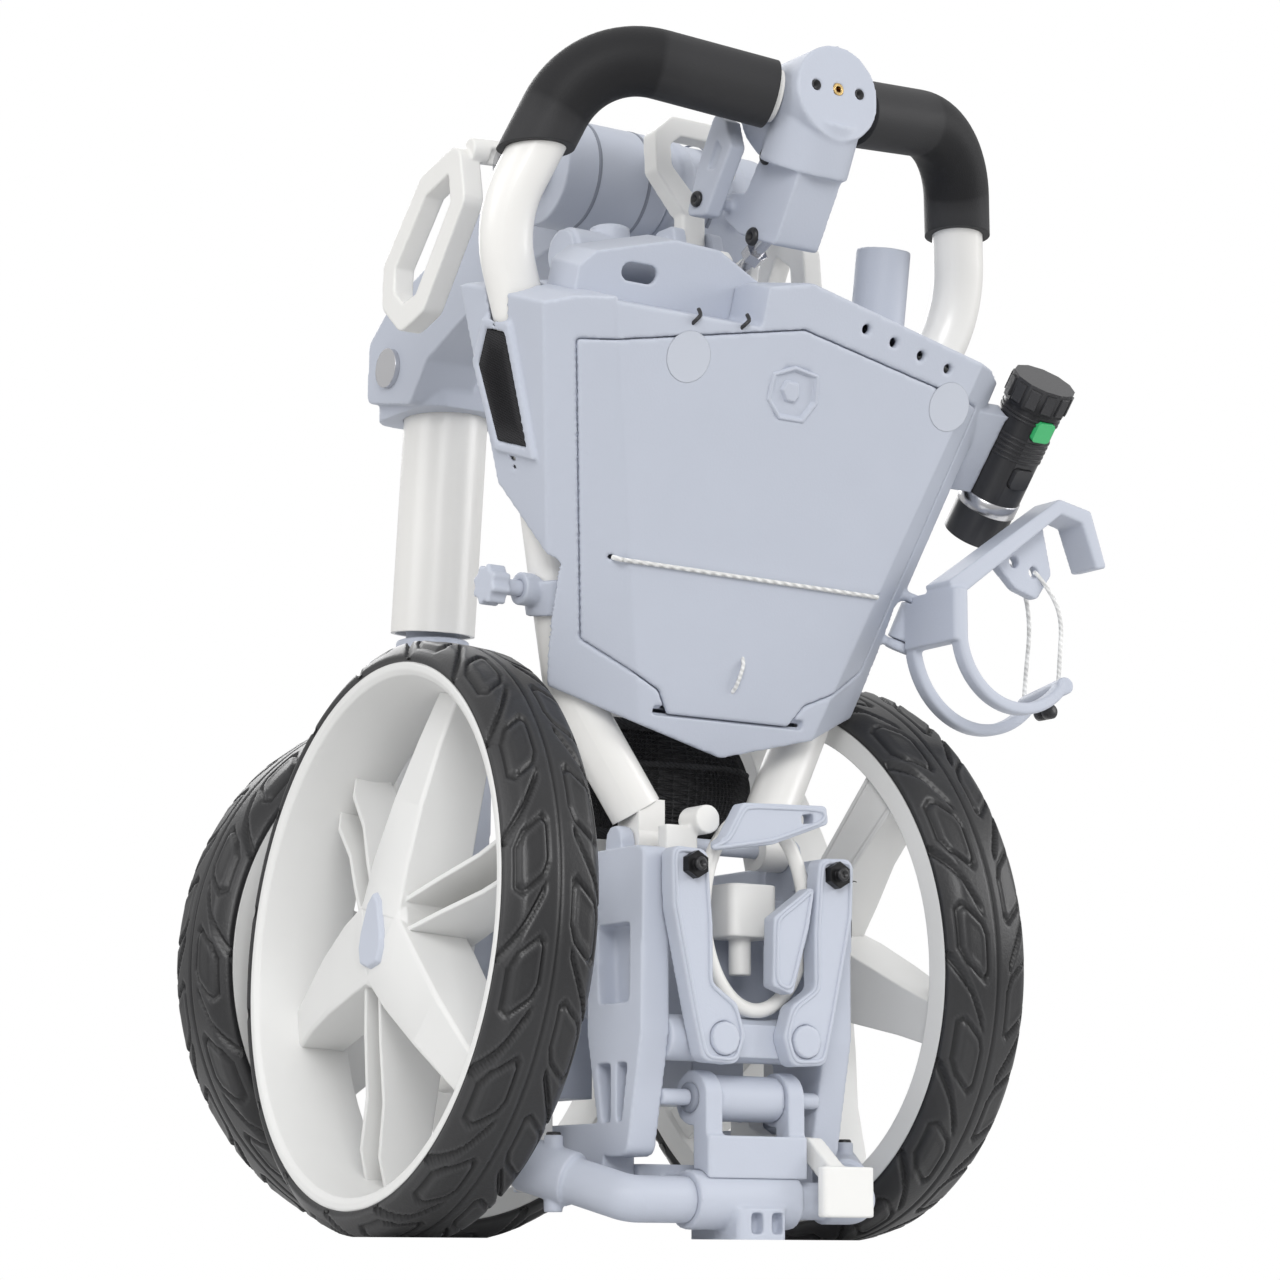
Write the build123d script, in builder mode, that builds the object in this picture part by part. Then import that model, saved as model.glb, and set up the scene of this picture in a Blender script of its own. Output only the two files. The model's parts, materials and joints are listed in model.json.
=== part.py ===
from build123d import *
import os
from math import atan2, cos, degrees, radians, sin, tan

# Folded three-wheel push cart for a golf bag.  Millimetres, +Z up, +X to the user's right,
# the user's side faces -Y.  Origin: underside of the foot, on the mid-plane.

os.makedirs("parts", exist_ok=True)

# ---- driving dimensions --------------------------------------------------------------
# clearances
run_fit = 0.05            # radial clearance of every turning fit
gap = 0.5                 # clearance between bodies that pass each other

# wheels
tyre_d = 292.0
tyre_w = 50.0
tyre_h = 18.0             # radial height of the tyre over its seat
rim_wall = 6.5
hub_r = 24.0
axle_r = 8.0
track_half = 120.0        # mid-plane to the centre of a rear wheel
rear_y = 89.0
toe = 3.3
camber = 3.9
front_wheel_y = 276.0

# folding hinge and front tube
barrel_y = 68.0
barrel_z = 541.0
barrel_r = 28.5
barrel_half = 64.0
hinge_pin_r = 9.0
main_tube_r = 23.5
main_tube_top = 492.0

# rear parallel links
link_x = 76.0
link_len = 100.0
link_r = 8.0
link_pin_r = 4.0
pedal_pin_y = 30.0
pedal_pin_z = 62.0
pedal_pin_r = 3.0
lower_link_y = 50.0
lower_link_z = 32.0
upper_link_y = 122.0
upper_link_z = 82.0

# lower bracket arms
pin_x = 24.0
pin_z = 95.0
nut_x = 42.0
nut_z = 176.0

# spine
spine_r = 17.0
spine_y = 106.0

# upper frame hinge and frame tubes
frame_hinge_y = 12.0
frame_hinge_z = 192.0
frame_pin_r = 4.0
frame_tube_r = 13.0
tube_wall = 1.6

# console
console_tilt = 19.6
face_y = 3.0
face_z = 220.0
console_back = 24.0       # rear plane of the console box
shell_t = 3.0
door_t = 3.0
door_gap = 0.6
door_hinge_s = 33.0

# handle arch
grip_r = 16.8
joint_r = 24.0
lever_pin_r = 3.0

# cup holder, lamp, knob
cup_far_r = 46.0
cup_near_r = 40.0
cup_bar = 6.0
cup_pin_r = 3.0
lamp_r = 15.5
button_size = 11.0
button_gap = 0.4
knob_shaft_r = 4.0

tyre_r = tyre_d / 2
rim_r = tyre_r - tyre_h


# ---- shared shapes -------------------------------------------------------------------
def bar(start, end, radius):
    """Round bar between two points."""
    run = Vector(*end) - Vector(*start)
    with BuildPart() as piece:
        with BuildSketch(Plane(origin=start, z_dir=run)):
            Circle(radius)
        extrude(amount=run.length)
    return piece.part


def bent_tube(points, radii, radius, bore=0.0):
    """Tube along straight runs joined by arcs; bore is its inner radius, 0 when solid."""
    with BuildPart() as piece:
        with BuildLine() as route:
            FilletPolyline(*points, radius=radii)
        with BuildSketch(Plane(origin=points[0], z_dir=route.wire() % 0)):
            Circle(radius)
            if bore:
                Circle(bore, mode=Mode.SUBTRACT)
        sweep(path=route.wire())
    return piece.part


def plate(points, plane, thickness, rounding=0.0):
    """Flat plate from an outline drawn on a plane, centred on that plane."""
    with BuildPart() as piece:
        with BuildSketch(plane):
            with BuildLine():
                Polyline(*points, close=True)
            make_face()
            if rounding:
                fillet(vertices(), rounding)
        extrude(amount=thickness / 2, both=True)
    return piece.part


def slot_bar(start, end, radius, plane, thickness):
    """Flat link with round ends, centred on a plane."""
    with BuildPart() as piece:
        with BuildSketch(plane):
            SlotCenterToCenter(
                (Vector(*end) - Vector(*start)).length, 2 * radius,
                rotation=degrees(atan2(end[1] - start[1], end[0] - start[0])),
            )
        extrude(amount=thickness / 2, both=True)
    middle = (Vector(*start) + Vector(*end)) / 2
    return piece.part.moved(Location(plane.x_dir * middle.X + plane.y_dir * middle.Y))


def along_x(y, z, x0, x1, radius):
    """Round bar parallel to X."""
    return bar((x0, y, z), (x1, y, z), radius)


def along_y(x, z, y0, y1, radius):
    """Round bar parallel to Y."""
    return bar((x, y0, z), (x, y1, z), radius)


def block(x0, x1, y0, y1, z0, z1, rounding=0.0):
    """Box between two corners, with its upright edges rounded."""
    with BuildPart() as piece:
        with BuildSketch(Plane.XY.offset(z0)):
            with Locations(((x0 + x1) / 2, (y0 + y1) / 2)):
                Rectangle(x1 - x0, y1 - y0)
            if rounding:
                fillet(vertices(), rounding)
        extrude(amount=z1 - z0)
    return piece.part


def save(name, shape):
    """Label a finished piece and write its file."""
    shape.label = name
    export_step(shape, f"parts/{name}.step")


# ---- wheels --------------------------------------------------------------------------
def make_wheel(prefix, base):
    """Rim, tyre and hub cap of one wheel; base is at its centre with Z along the axle."""
    axis = Axis(base.origin, base.z_dir)
    half = Plane(origin=base.origin, x_dir=base.x_dir, z_dir=-base.y_dir)
    w = tyre_w / 2
    seat = w - 8.0
    flange_r = rim_r + 6.0

    with BuildPart() as tyre:
        with BuildSketch(half):
            with BuildLine():
                Polyline((tyre_r - 1, -seat), (tyre_r - 7, -w), (flange_r, -w), (flange_r, -seat - 4),
                         (rim_r, -seat), (rim_r, seat), (flange_r, seat + 4), (flange_r, w),
                         (tyre_r - 7, w), (tyre_r - 1, seat))
                ThreePointArc((tyre_r - 1, seat), (tyre_r, 0), (tyre_r - 1, -seat))
            make_face()
        revolve(axis=axis)
    save(f"{prefix}_tyre", tyre.part)

    with BuildPart() as rim:
        with BuildSketch(half):
            with BuildLine():
                Polyline((rim_r, -seat), (rim_r, seat), (flange_r, seat + 4), (flange_r, w - 0.5),
                         (rim_r + 2.5, w - 0.5), (rim_r - rim_wall - 2, -4), (rim_r - rim_wall, -w + 0.5),
                         (flange_r, -w + 0.5), (flange_r, -seat - 4), close=True)
            make_face()
        revolve(axis=axis)
        with BuildSketch(base.offset(-w + 6)):
            Circle(hub_r)
        extrude(amount=2 * w - 10)
        with BuildSketch(base.offset(-w + 8)):
            with PolarLocations(0, 3, start_angle=78):
                with Locations((rim_r / 2 - 2, 0)):
                    Trapezoid(32, rim_r - 12, 86, 86, rotation=-90)
        extrude(amount=2 * w - 20)
        with BuildSketch(base.offset(-w + 8)):
            with PolarLocations(0, 3, start_angle=130):
                with Locations((rim_r / 2 + 4, 0)):
                    Rectangle(rim_r - 12, 4)
            with PolarLocations(0, 3, start_angle=146):
                with Locations((rim_r / 2 + 4, 0)):
                    Rectangle(rim_r - 12, 4)
        extrude(amount=w)
        with BuildSketch(base.offset(-w)):
            Circle(axle_r + run_fit)
        extrude(amount=w + 10, mode=Mode.SUBTRACT)
    save(f"{prefix}_rim", rim.part)

    with BuildPart() as hub_cap:
        with BuildSketch(base.offset(w - 4)):
            with BuildLine():
                Polyline((0, 22), (-12, -8), (-9, -17), (9, -17), (12, -8), close=True)
            make_face()
            fillet(vertices(), 4)
        extrude(amount=3.0)
    save(f"{prefix}_hub_cap", hub_cap.part)


def rear_base(side):
    """Plane at a rear wheel's centre, Z outward along its axle; side is -1 left, +1 right."""
    out = Vector(side * cos(radians(toe)), sin(radians(toe)), tan(radians(camber)))
    return Plane(origin=(side * track_half, rear_y, tyre_r), x_dir=Vector(0, 0, 1).cross(out), z_dir=out)


front_base = Plane(origin=(0, front_wheel_y, tyre_r), x_dir=(-1, 0, 0), z_dir=(0, 1, 0))
make_wheel("left", rear_base(-1))
make_wheel("right", rear_base(1))
make_wheel("front", front_base)

# ---- rear links and hub carriers -----------------------------------------------------
link_w = 14.0
for side, prefix in ((-1, "left"), (1, "right")):
    for level, y, z in (("lower", lower_link_y, lower_link_z), ("upper", upper_link_y, upper_link_z)):
        with BuildPart() as link:
            add(slot_bar((side * link_x, z), (side * link_x, z + link_len), link_r,
                         Plane(origin=(0, y, 0), x_dir=(1, 0, 0), z_dir=(0, -1, 0)), link_w))
            add(block(side * link_x - 2.5, side * link_x + 2.5, y - 4.5, y + 4.5,
                      z + 14, z + link_len - 14), mode=Mode.SUBTRACT)
            for end in (z, z + link_len):
                add(along_y(side * link_x, end, y - link_w, y + link_w, link_pin_r + run_fit),
                    mode=Mode.SUBTRACT)
        save(f"{prefix}_{level}_link", link.part)

lower_top = lower_link_z + link_len
upper_top = upper_link_z + link_len
left_base = rear_base(-1)
with BuildPart() as carrier:
    add(block(-link_x - link_r + 1, -link_x + link_r, lower_link_y + link_w / 2 + gap,
              upper_link_y - link_w / 2 - gap, lower_top - link_r, upper_top + link_r, 3))
    add(along_y(-link_x, lower_top, lower_link_y - link_w / 2 - 3, lower_link_y + link_w, link_pin_r))
    add(along_y(-link_x, upper_top, upper_link_y - link_w, upper_link_y + link_w / 2 + 3, link_pin_r))
    add(bar(left_base.origin - left_base.z_dir * 40.0, left_base.origin + left_base.z_dir * 6.0, axle_r))
    add(bar(left_base.origin - left_base.z_dir * 42.0, left_base.origin - left_base.z_dir * 26.0, 15.0))
save("left_hub_carrier", carrier.part)
save("right_hub_carrier", mirror(carrier.part, about=Plane.YZ))

# ---- lower bracket (fixed to the spine) ----------------------------------------------
plate_x = 62.0
with BuildPart() as bracket_frame:
    # two ribbed side boxes joined by a rear web that carries the spine
    for side in (-1, 1):
        x0, x1 = sorted((side * 46.0, side * plate_x))
        add(plate([(-26, 186), (26, 186), (22, 96), (10, 40), (-12, 40), (-24, 96)],
                  Plane(origin=((x0 + x1) / 2, 0, 0), x_dir=(0, 1, 0), z_dir=(1, 0, 0)), x1 - x0, 6))
        pocket = Plane(origin=(side * plate_x, 0, 0), x_dir=(0, 1, 0), z_dir=(1, 0, 0))
        add(plate([(-14, 150), (14, 150), (12, 112), (-13, 112)], pocket, 22, 3), mode=Mode.SUBTRACT)
        add(plate([(-12, 84), (-3, 84), (-3, 56), (-7, 56)], pocket, 22, 2), mode=Mode.SUBTRACT)
        add(plate([(2, 84), (14, 84), (9, 56), (2, 56)], pocket, 22, 2), mode=Mode.SUBTRACT)
    add(block(-46.5, 46.5, 12, 22, 96, 168))
    add(block(-30, 30, 20, spine_y, 100, 150))
    # pivots of the two lower links
    for side in (-1, 1):
        x0, x1 = sorted((side * 44.0, side * plate_x))
        add(block(x0, x1, 8, 66, 24, 56))
        x0, x1 = sorted((side * 30.0, side * plate_x))
        add(block(x0, x1, 66, 114, 70, 110))
        x0, x1 = sorted((side * (plate_x - 1), side * (link_x + 1)))
        add(block(x0, x1, lower_link_y + link_w / 2 + gap, lower_link_y + link_w / 2 + 7, 24, 40))
        add(block(x0, x1, upper_link_y - link_w / 2 - 7, upper_link_y - link_w / 2 - gap, 74, 90))
        add(along_y(side * link_x, lower_link_z, lower_link_y - link_w / 2 - 3,
                    lower_link_y + link_w / 2 + 4, link_pin_r))
        add(along_y(side * link_x, upper_link_z, upper_link_y - link_w / 2 - 4,
                    upper_link_y + link_w / 2 + 3, link_pin_r))
    add(along_x(frame_hinge_y, frame_hinge_z, -53.5, 53.5, frame_pin_r))
    add(along_x(pedal_pin_y, pedal_pin_z, 32, 50, pedal_pin_r))
    add(block(46, plate_x, 8, 38, 50, 72, 3))
    for side in (-1, 1):
        add(along_y(side * nut_x, nut_z, -26.9, -10, 5.0))
        x0, x1 = sorted((side * 40.0, side * 48.0))
        add(block(x0, x1, -12, -6, 171, 181))
        add(along_y(side * nut_x, nut_z, -27, -15, 3.0), mode=Mode.SUBTRACT)
    for side in (-1, 1):
        x0, x1 = sorted((side * 46.0, side * 54.0))
        add(along_x(frame_hinge_y, frame_hinge_z, x0, x1, 7.0))
        add(block(x0, x1, frame_hinge_y - 7, frame_hinge_y + 7, 182, frame_hinge_z))
    add(along_y(0, 125, spine_y - 30, spine_y + 10, spine_r + 6))
    add(bar((0, spine_y, 100), (0, spine_y, 150), spine_r + 6))
    add(bar((0, spine_y, 104), (0, spine_y, 160), spine_r), mode=Mode.SUBTRACT)
save("bracket_frame", bracket_frame.part)

with BuildPart() as spine_tube:
    with BuildSketch(Plane.XY.offset(104)):
        with Locations((0, spine_y)):
            Circle(spine_r)
            Circle(spine_r - 2, mode=Mode.SUBTRACT)
    extrude(amount=350)
save("spine_tube", spine_tube.part)

# front arms of the bracket
arm_y = -33.0
arm_t = 10.0
arm_plane = Plane(origin=(0, arm_y, 0), x_dir=(1, 0, 0), z_dir=(0, -1, 0))
with BuildPart() as bracket_arm:
    with BuildSketch(arm_plane):
        with BuildLine():
            Polyline((nut_x - 9, nut_z + 8), (nut_x + 12, nut_z + 9), (nut_x + 11, nut_z - 20),
                     (pin_x + 17, pin_z + 8), (pin_x + 12, pin_z - 11), (pin_x - 8, pin_z - 12),
                     (pin_x - 13, pin_z + 2), (pin_x - 8, pin_z + 17), (pin_x + 6, pin_z + 26),
                     (nut_x - 12, nut_z - 28), close=True)
        make_face()
        fillet(vertices(), 5)
    extrude(amount=arm_t / 2, both=True)
    fillet(bracket_arm.faces().sort_by(Axis.Y)[0].edges(), 1.2)
    add(along_y(nut_x, nut_z, arm_y, -27, 7.5))
    add(along_y(pin_x, pin_z, arm_y - arm_t, arm_y + arm_t, 8.1), mode=Mode.SUBTRACT)
    add(along_y(nut_x, nut_z, arm_y - arm_t, 0, 3.0), mode=Mode.SUBTRACT)
    mirror(about=Plane.YZ)
save("bracket_arms", bracket_arm.part)

with BuildPart() as bracket_nuts:
    nut_plane = Plane(origin=(0, arm_y - arm_t / 2, 0), x_dir=(1, 0, 0), z_dir=(0, -1, 0))
    with BuildSketch(nut_plane):
        for side in (-1, 1):
            with Locations((side * nut_x, nut_z)):
                RegularPolygon(6.6, 6, rotation=30)
    extrude(amount=4.5)
    for side in (-1, 1):
        add(along_y(side * nut_x, nut_z, arm_y - arm_t / 2 - 7, -15.0, 3.0))
save("bracket_nuts", bracket_nuts.part)

# cross tube with the round pins of the arms, and the roller's rod under it
roller_y, roller_z, roller_r = -16.0, 68.0, 12.0
foot_y, foot_z, foot_r = -20.0, 20.0, 14.0
with BuildPart() as cross_rods:
    add(along_x(-16, pin_z + 1, -46, 46, 11.0))
    add(block(-32, 32, -28, -18, pin_z - 8, pin_z + 8, 2))
    for side in (-1, 1):
        add(along_y(side * pin_x, pin_z, arm_y - arm_t / 2 - 2, -27, 8.0))
    add(along_x(roller_y, roller_z, -18, 20, roller_r - 1))
    add(along_x(roller_y, roller_z, -46, 46, 4.0))
save("cross_rods", cross_rods.part)

with BuildPart() as link_clevis:
    for x0, x1 in ((-28, -18.3), (20.3, 30)):
        add(along_x(roller_y, roller_z, x0, x1, roller_r + 1))
        add(block(x0, x1, roller_y - 13, roller_y - 2, foot_z + 10, roller_z))
    add(block(-28, 30, roller_y - 15, roller_y - 8, foot_z + 12, foot_z + 30, 1))
    add(block(-28, 30, roller_y - 15, roller_y - 8, foot_z + 10, foot_z + 22, 1))
    add(along_x(roller_y, roller_z, -40, 40, 4.0 + run_fit), mode=Mode.SUBTRACT)
    add(along_x(foot_y, foot_z, -40, 40, foot_r), mode=Mode.SUBTRACT)
save("link_clevis", link_clevis.part)

with BuildPart() as bottom_barrel:
    add(along_x(foot_y, foot_z, -34, 26, foot_r))
    add(block(-14, 14, foot_y - 16, foot_y + 26, 0, foot_z - 4, 3))
    add(block(-30, 26, foot_y + 4, 12, foot_z - 8, foot_z + 12, 2))
    add(block(-44, 44, 4, 20, 24, 37, 2))
    for x in (-7, 5):
        add(block(x, x + 7, foot_y - 20, foot_y - 9, 4, 14), mode=Mode.SUBTRACT)
save("bottom_barrel", bottom_barrel.part)

# elbows that run from the bottom barrel back to the lower link pivots
with BuildPart() as elbows:
    for side, root_x in ((-1, -34.0), (1, 46.0)):
        add(bent_tube([(root_x, foot_y, foot_z), (side * 66, foot_y, foot_z),
                       (side * 88, 22, foot_z + 14)], [9], 11.0))
        add(bar((side * 80, 6, foot_z + 9), (side * 92, 30, foot_z + 17), 13.0))
        add(bar((side * 86, 14, foot_z - 6), (side * 86, 14, foot_z + 30), 4.5))
        add(bar((side * 86, 14, foot_z - 10), (side * 86, 14, foot_z + 40), 2.2), mode=Mode.SUBTRACT)
    add(along_x(foot_y, foot_z, 26, 48, foot_r - 5))
save("elbows", elbows.part)

# ---- bag strap on the lower bracket --------------------------------------------------
ring_x, ring_y, ring_z = 5.0, -22.5, 157.0
with BuildPart() as elastic_ring:
    with BuildLine(Plane(origin=(ring_x, ring_y, ring_z), x_dir=(1, 0, 0), z_dir=(0, -1, 0))) as loop:
        EllipticalCenterArc((0, 0), 30.2, 47, 0, arc_size=360)
    with BuildSketch(Plane(origin=loop.wire() @ 0, z_dir=loop.wire() % 0)):
        Circle(3.6)
    sweep(path=loop.wire())
save("elastic_ring", elastic_ring.part)

cleat_plane = Plane(origin=(0, -33, 0), x_dir=(1, 0, 0), z_dir=(0, -1, 0))
with BuildPart() as strap_cleats:
    add(plate([(-36, 183), (-22, 191), (-12, 208), (38, 210), (39, 201), (6, 189)], cleat_plane, 9, 2.5))
    add(plate([(23, 204.5), (30, 205.5), (30, 201), (23, 200)], cleat_plane, 20), mode=Mode.SUBTRACT)
    add(plate([(5, 121), (17, 117), (27, 150), (31, 172), (23, 166), (6, 154)], cleat_plane, 9, 2))
save("strap_cleats", strap_cleats.part)

with BuildPart() as strap_posts:
    add(bar((-26, -28, 200), (-26, -12, 200), 7.0))
    add(block(-46, -28, -22, -14, 181, 197))
    add(block(-4, 24, -17, 8, 146, 172, 5))
    add(bar((8, -6, 128), (8, -6, 150), 5.5))
    add(block(2, 14, -8, 12, 150, 160))
save("strap_posts", strap_posts.part)

with BuildPart() as webbing_strap:
    add(block(66, 73, -12, 20, 146, 178, 2.5))
    add(block(62.2, 66.5, -6, 10, 150, 172))
    add(along_x(-2, 140, 62.2, 76, 4.5))
save("webbing_strap", webbing_strap.part)

with BuildPart() as brake_pedal:
    pedal_plane = Plane(origin=(38.0, 0, 0), x_dir=(0, 1, 0), z_dir=(1, 0, 0))
    add(plate([(22, 70), (38, 70), (38, 52), (16, 43), (-22, 40), (-35, 30), (-38, 12), (-44, 14),
               (-44, 36), (-26, 50), (14, 53), (22, 57)], pedal_plane, 9, 1.5))
    add(block(28, 58, -47, -40, 12, 36, 2))
    add(along_x(pedal_pin_y, pedal_pin_z, 20, 60, pedal_pin_r + run_fit), mode=Mode.SUBTRACT)
save("brake_pedal", brake_pedal.part)

# ---- mast head, hub and folding hinge ------------------------------------------------
spine_top = 454.0
hub_y, hub_z, hub_bar_r = 5.0, 478.0, 13.0
with BuildPart() as mast_head:
    add(along_x(barrel_y, barrel_z, 0.3, barrel_half, barrel_r - 1.5))
    add(along_x(barrel_y, barrel_z, 8, 14, barrel_r))
    add(along_x(barrel_y, barrel_z, 40, 46, barrel_r))
    add(plate([(46, 530), (92, 530), (112, 486), (112, 462), (60, 462)],
              Plane(origin=(31, 0, 0), x_dir=(0, 1, 0), z_dir=(1, 0, 0)), 50, 3))
    add(block(-22, 30, 62, 128, 462, 486, 5))
    add(bar((0, spine_y, 440), (0, spine_y, 470), spine_r + 5))
    add(bar((0, spine_y, 430), (0, spine_y, spine_top), spine_r), mode=Mode.SUBTRACT)
    add(along_x(barrel_y, barrel_z, -80, 80, hinge_pin_r), mode=Mode.SUBTRACT)
save("mast_head", mast_head.part)

with BuildPart() as hinge_pin:
    add(along_x(barrel_y, barrel_z, -86, 86, hinge_pin_r))
save("hinge_pin", hinge_pin.part)

loop_pin_y, loop_pin_z, loop_pin_r = 15.0, 496.0, 3.0
with BuildPart() as strap_hub:
    add(along_x(hub_y, hub_z, -88, -22, hub_bar_r))
    add(along_x(hub_y, hub_z, -91, -88, hub_bar_r - 1.5))
    add(block(-24, -16, -2, 62, 468, 486))
    for x0, x1 in ((-22, -14.5), (0.5, 8)):
        add(plate([(2, 480), (28, 480), (24, 504), (8, 504)],
                  Plane(origin=((x0 + x1) / 2, 0, 0), x_dir=(0, 1, 0), z_dir=(1, 0, 0)), x1 - x0, 3))
    add(block(-22, 5.5, 4, 62, 470, 484))
    add(along_x(loop_pin_y, loop_pin_z, -26, 12, loop_pin_r))
    add(bar((-62, hub_y, hub_z + 8), (-62, hub_y, hub_z + hub_bar_r + 2.5), 10.0))
save("strap_hub", strap_hub.part)

with BuildPart() as release_loop:
    loop_plane = Plane(origin=(-7, loop_pin_y, 0), x_dir=(1, 0, 0), z_dir=(0, -1, 0))
    add(plate([(-7, 512), (7, 512), (25, 536), (27, 552), (18, 562), (-14, 562), (-25, 552), (-24, 532)],
              loop_plane, 11, 5))
    add(plate([(-2, 524), (4, 524), (16, 540), (17, 548), (13, 552), (-9, 552), (-15, 547), (-14, 536)],
              loop_plane, 30, 3), mode=Mode.SUBTRACT)
    add(block(-14, 0, loop_pin_y - 5, loop_pin_y + 5, 492, 516, 2))
    add(along_x(loop_pin_y, loop_pin_z, -30, 30, loop_pin_r + run_fit), mode=Mode.SUBTRACT)
save("release_loop", release_loop.part)

tube_top_y = 262.0
tube_foot = (0, front_wheel_y, 336.0)
tube_head = (0, tube_top_y - 1, main_tube_top)
with BuildPart() as hinge_housing:
    add(along_x(barrel_y, barrel_z, -barrel_half, -0.3, barrel_r))
    add(plate([(62, 567), (84, 568), (180, 545), (262, 518), (286, 500), (288, 466), (240, 456),
               (222, 478), (150, 506), (60, 514)],
              Plane(origin=(-20, 0, 0), x_dir=(0, 1, 0), z_dir=(1, 0, 0)), 36, 6))
    add(block(-32, 32, 232, 294, 456, 506, 14))
    add(along_x(tube_top_y, 481, -38, -30, 13))
    add(bar(tube_foot, tube_head, main_tube_r), mode=Mode.SUBTRACT)
    add(along_x(barrel_y, barrel_z, -80, 80, hinge_pin_r + run_fit), mode=Mode.SUBTRACT)
    add(along_x(tube_top_y, 481, -50, 50, 6.0), mode=Mode.SUBTRACT)
save("hinge_housing", hinge_housing.part)

with BuildPart() as housing_bolt:
    add(along_x(tube_top_y, 481, -40, 32, 6.0))
    add(along_x(tube_top_y, 481, -41, -38, 11.0))
save("housing_bolt", housing_bolt.part)

with BuildPart() as main_tube:
    add(bar(tube_foot, tube_head, main_tube_r))
    add(bar(tube_foot, tube_head, main_tube_r - 2.5), mode=Mode.SUBTRACT)
    add(along_x(tube_top_y, 481, -50, 50, 6.0), mode=Mode.SUBTRACT)
save("main_tube", main_tube.part)

# fork of the front wheel
crown_z = 300.0
steerer_r = 15.0
leg_y = tyre_w / 2 + 5
with BuildPart() as front_fork:
    add(block(-22, 22, front_wheel_y - leg_y - 8, front_wheel_y + leg_y + 8, crown_z, crown_z + 24, 8))
    add(bar((0, front_wheel_y, crown_z + 20), (0, front_wheel_y, tube_foot[2] - 4), main_tube_r - 3))
    add(bar((0, front_wheel_y, crown_z + 20), (0, front_wheel_y, tube_foot[2] + 39), steerer_r))
    for side in (-1, 1):
        y0, y1 = sorted((front_wheel_y + side * leg_y, front_wheel_y + side * (leg_y + 8)))
        add(plate([(-18, crown_z + 4), (18, crown_z + 4), (14, tyre_r - 8), (0, tyre_r - 17),
                   (-14, tyre_r - 8)],
                  Plane(origin=(0, (y0 + y1) / 2, 0), x_dir=(1, 0, 0), z_dir=(0, -1, 0)), y1 - y0, 5))
    add(along_y(0, tyre_r, front_wheel_y - leg_y, front_wheel_y + 6, axle_r))
save("front_fork", front_fork.part)

# ---- upper frame: side tubes and handle ----------------------------------------------
grip_corner = (112, -52, 563)
shoulder = (141, -18, 480)
waist = (121, -8, 434)
knee = (71, 24, 262)
tube_end = (39.2, 14.5, 207)
joint_side = (joint_r - 3, -78, 548)


def side_points(side):
    """Centre line of one side tube, from the handle joint down to the frame hinge."""
    points = (joint_side, grip_corner, shoulder, waist, knee, tube_end)
    return [(side * x, y, z) for x, y, z in points]


side_radii = [46, 60, 60, 60]
eye_in, eye_out = 30.0, 45.5
with BuildPart() as frame_tubes:
    for side in (-1, 1):
        x0, x1 = sorted((side * eye_in, side * eye_out))
        add(bent_tube(side_points(side), side_radii, frame_tube_r, frame_tube_r - tube_wall))
        add(block(x0, x1, frame_hinge_y - 9, frame_hinge_y + 9, frame_hinge_z, frame_hinge_z + 20))
        add(along_x(frame_hinge_y, frame_hinge_z, x0, x1, 10.0))
        add(along_x(frame_hinge_y, frame_hinge_z, x0 - 4, x1 + 4, frame_pin_r + run_fit),
            mode=Mode.SUBTRACT)
save("frame_tubes", frame_tubes.part)

with BuildPart() as grips:
    for side in (-1, 1):
        grip_line = [(side * (joint_r + 1), -78.3, 548.2)] + side_points(side)[1:3]
        add(bent_tube(grip_line, side_radii[:1], grip_r))
    add(block(-200, 200, -200, 200, 420, 514), mode=Mode.SUBTRACT)
    for side in (-1, 1):
        add(bent_tube(side_points(side)[:4], side_radii[:2], frame_tube_r), mode=Mode.SUBTRACT)
    add(along_y(0, 547, -101, -50, joint_r), mode=Mode.SUBTRACT)
save("grips", grips.part)

stem_half = 13.0
stem_plane = Plane(origin=(0, 0, 0), x_dir=(0, 1, 0), z_dir=(1, 0, 0))
with BuildPart() as handle_joint:
    add(along_y(0, 547, -101, -52, joint_r))
    add(bar((0, -84, 540), (0, -72, 516), joint_r - 2))
    add(plate([(-100, 530), (-58, 530), (-42, 510), (-26, 514), (-22, 502), (-36, 490), (-66, 477)],
              stem_plane, 2 * stem_half, 3))
    for side in (-1, 1):
        add(bent_tube(side_points(side)[:4], side_radii[:2], frame_tube_r), mode=Mode.SUBTRACT)
        add(along_y(side * 13, 549, -102, -92, 2.6), mode=Mode.SUBTRACT)
    add(along_y(0, 549, -102, -86, 3.0), mode=Mode.SUBTRACT)
    add(bar((0, -60, 496), (0, -30, 482), 3.2), mode=Mode.SUBTRACT)
    add(along_x(-30, 506, -34, 0, lever_pin_r))
save("handle_joint", handle_joint.part)

with BuildPart() as threaded_insert:
    add(along_y(0, 549, -101, -86, 3.0))
    add(along_y(0, 549, -102, -92, 1.6), mode=Mode.SUBTRACT)
save("threaded_insert", threaded_insert.part)

lever_plane = Plane(origin=(-29, 0, 0), x_dir=(0, 1, 0), z_dir=(1, 0, 0))
with BuildPart() as latch_lever:
    add(plate([(-20, 500), (-36, 496), (-46, 510), (-58, 526), (-54, 540), (-44, 546), (-30, 524)],
              lever_plane, 9, 3))
    add(plate([(-44, 518), (-50, 527), (-46, 532), (-38, 520)], lever_plane.offset(-4.5), 4),
        mode=Mode.SUBTRACT)
    add(along_x(-30, 506, -40, 0, lever_pin_r + run_fit), mode=Mode.SUBTRACT)
save("latch_lever", latch_lever.part)

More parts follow.
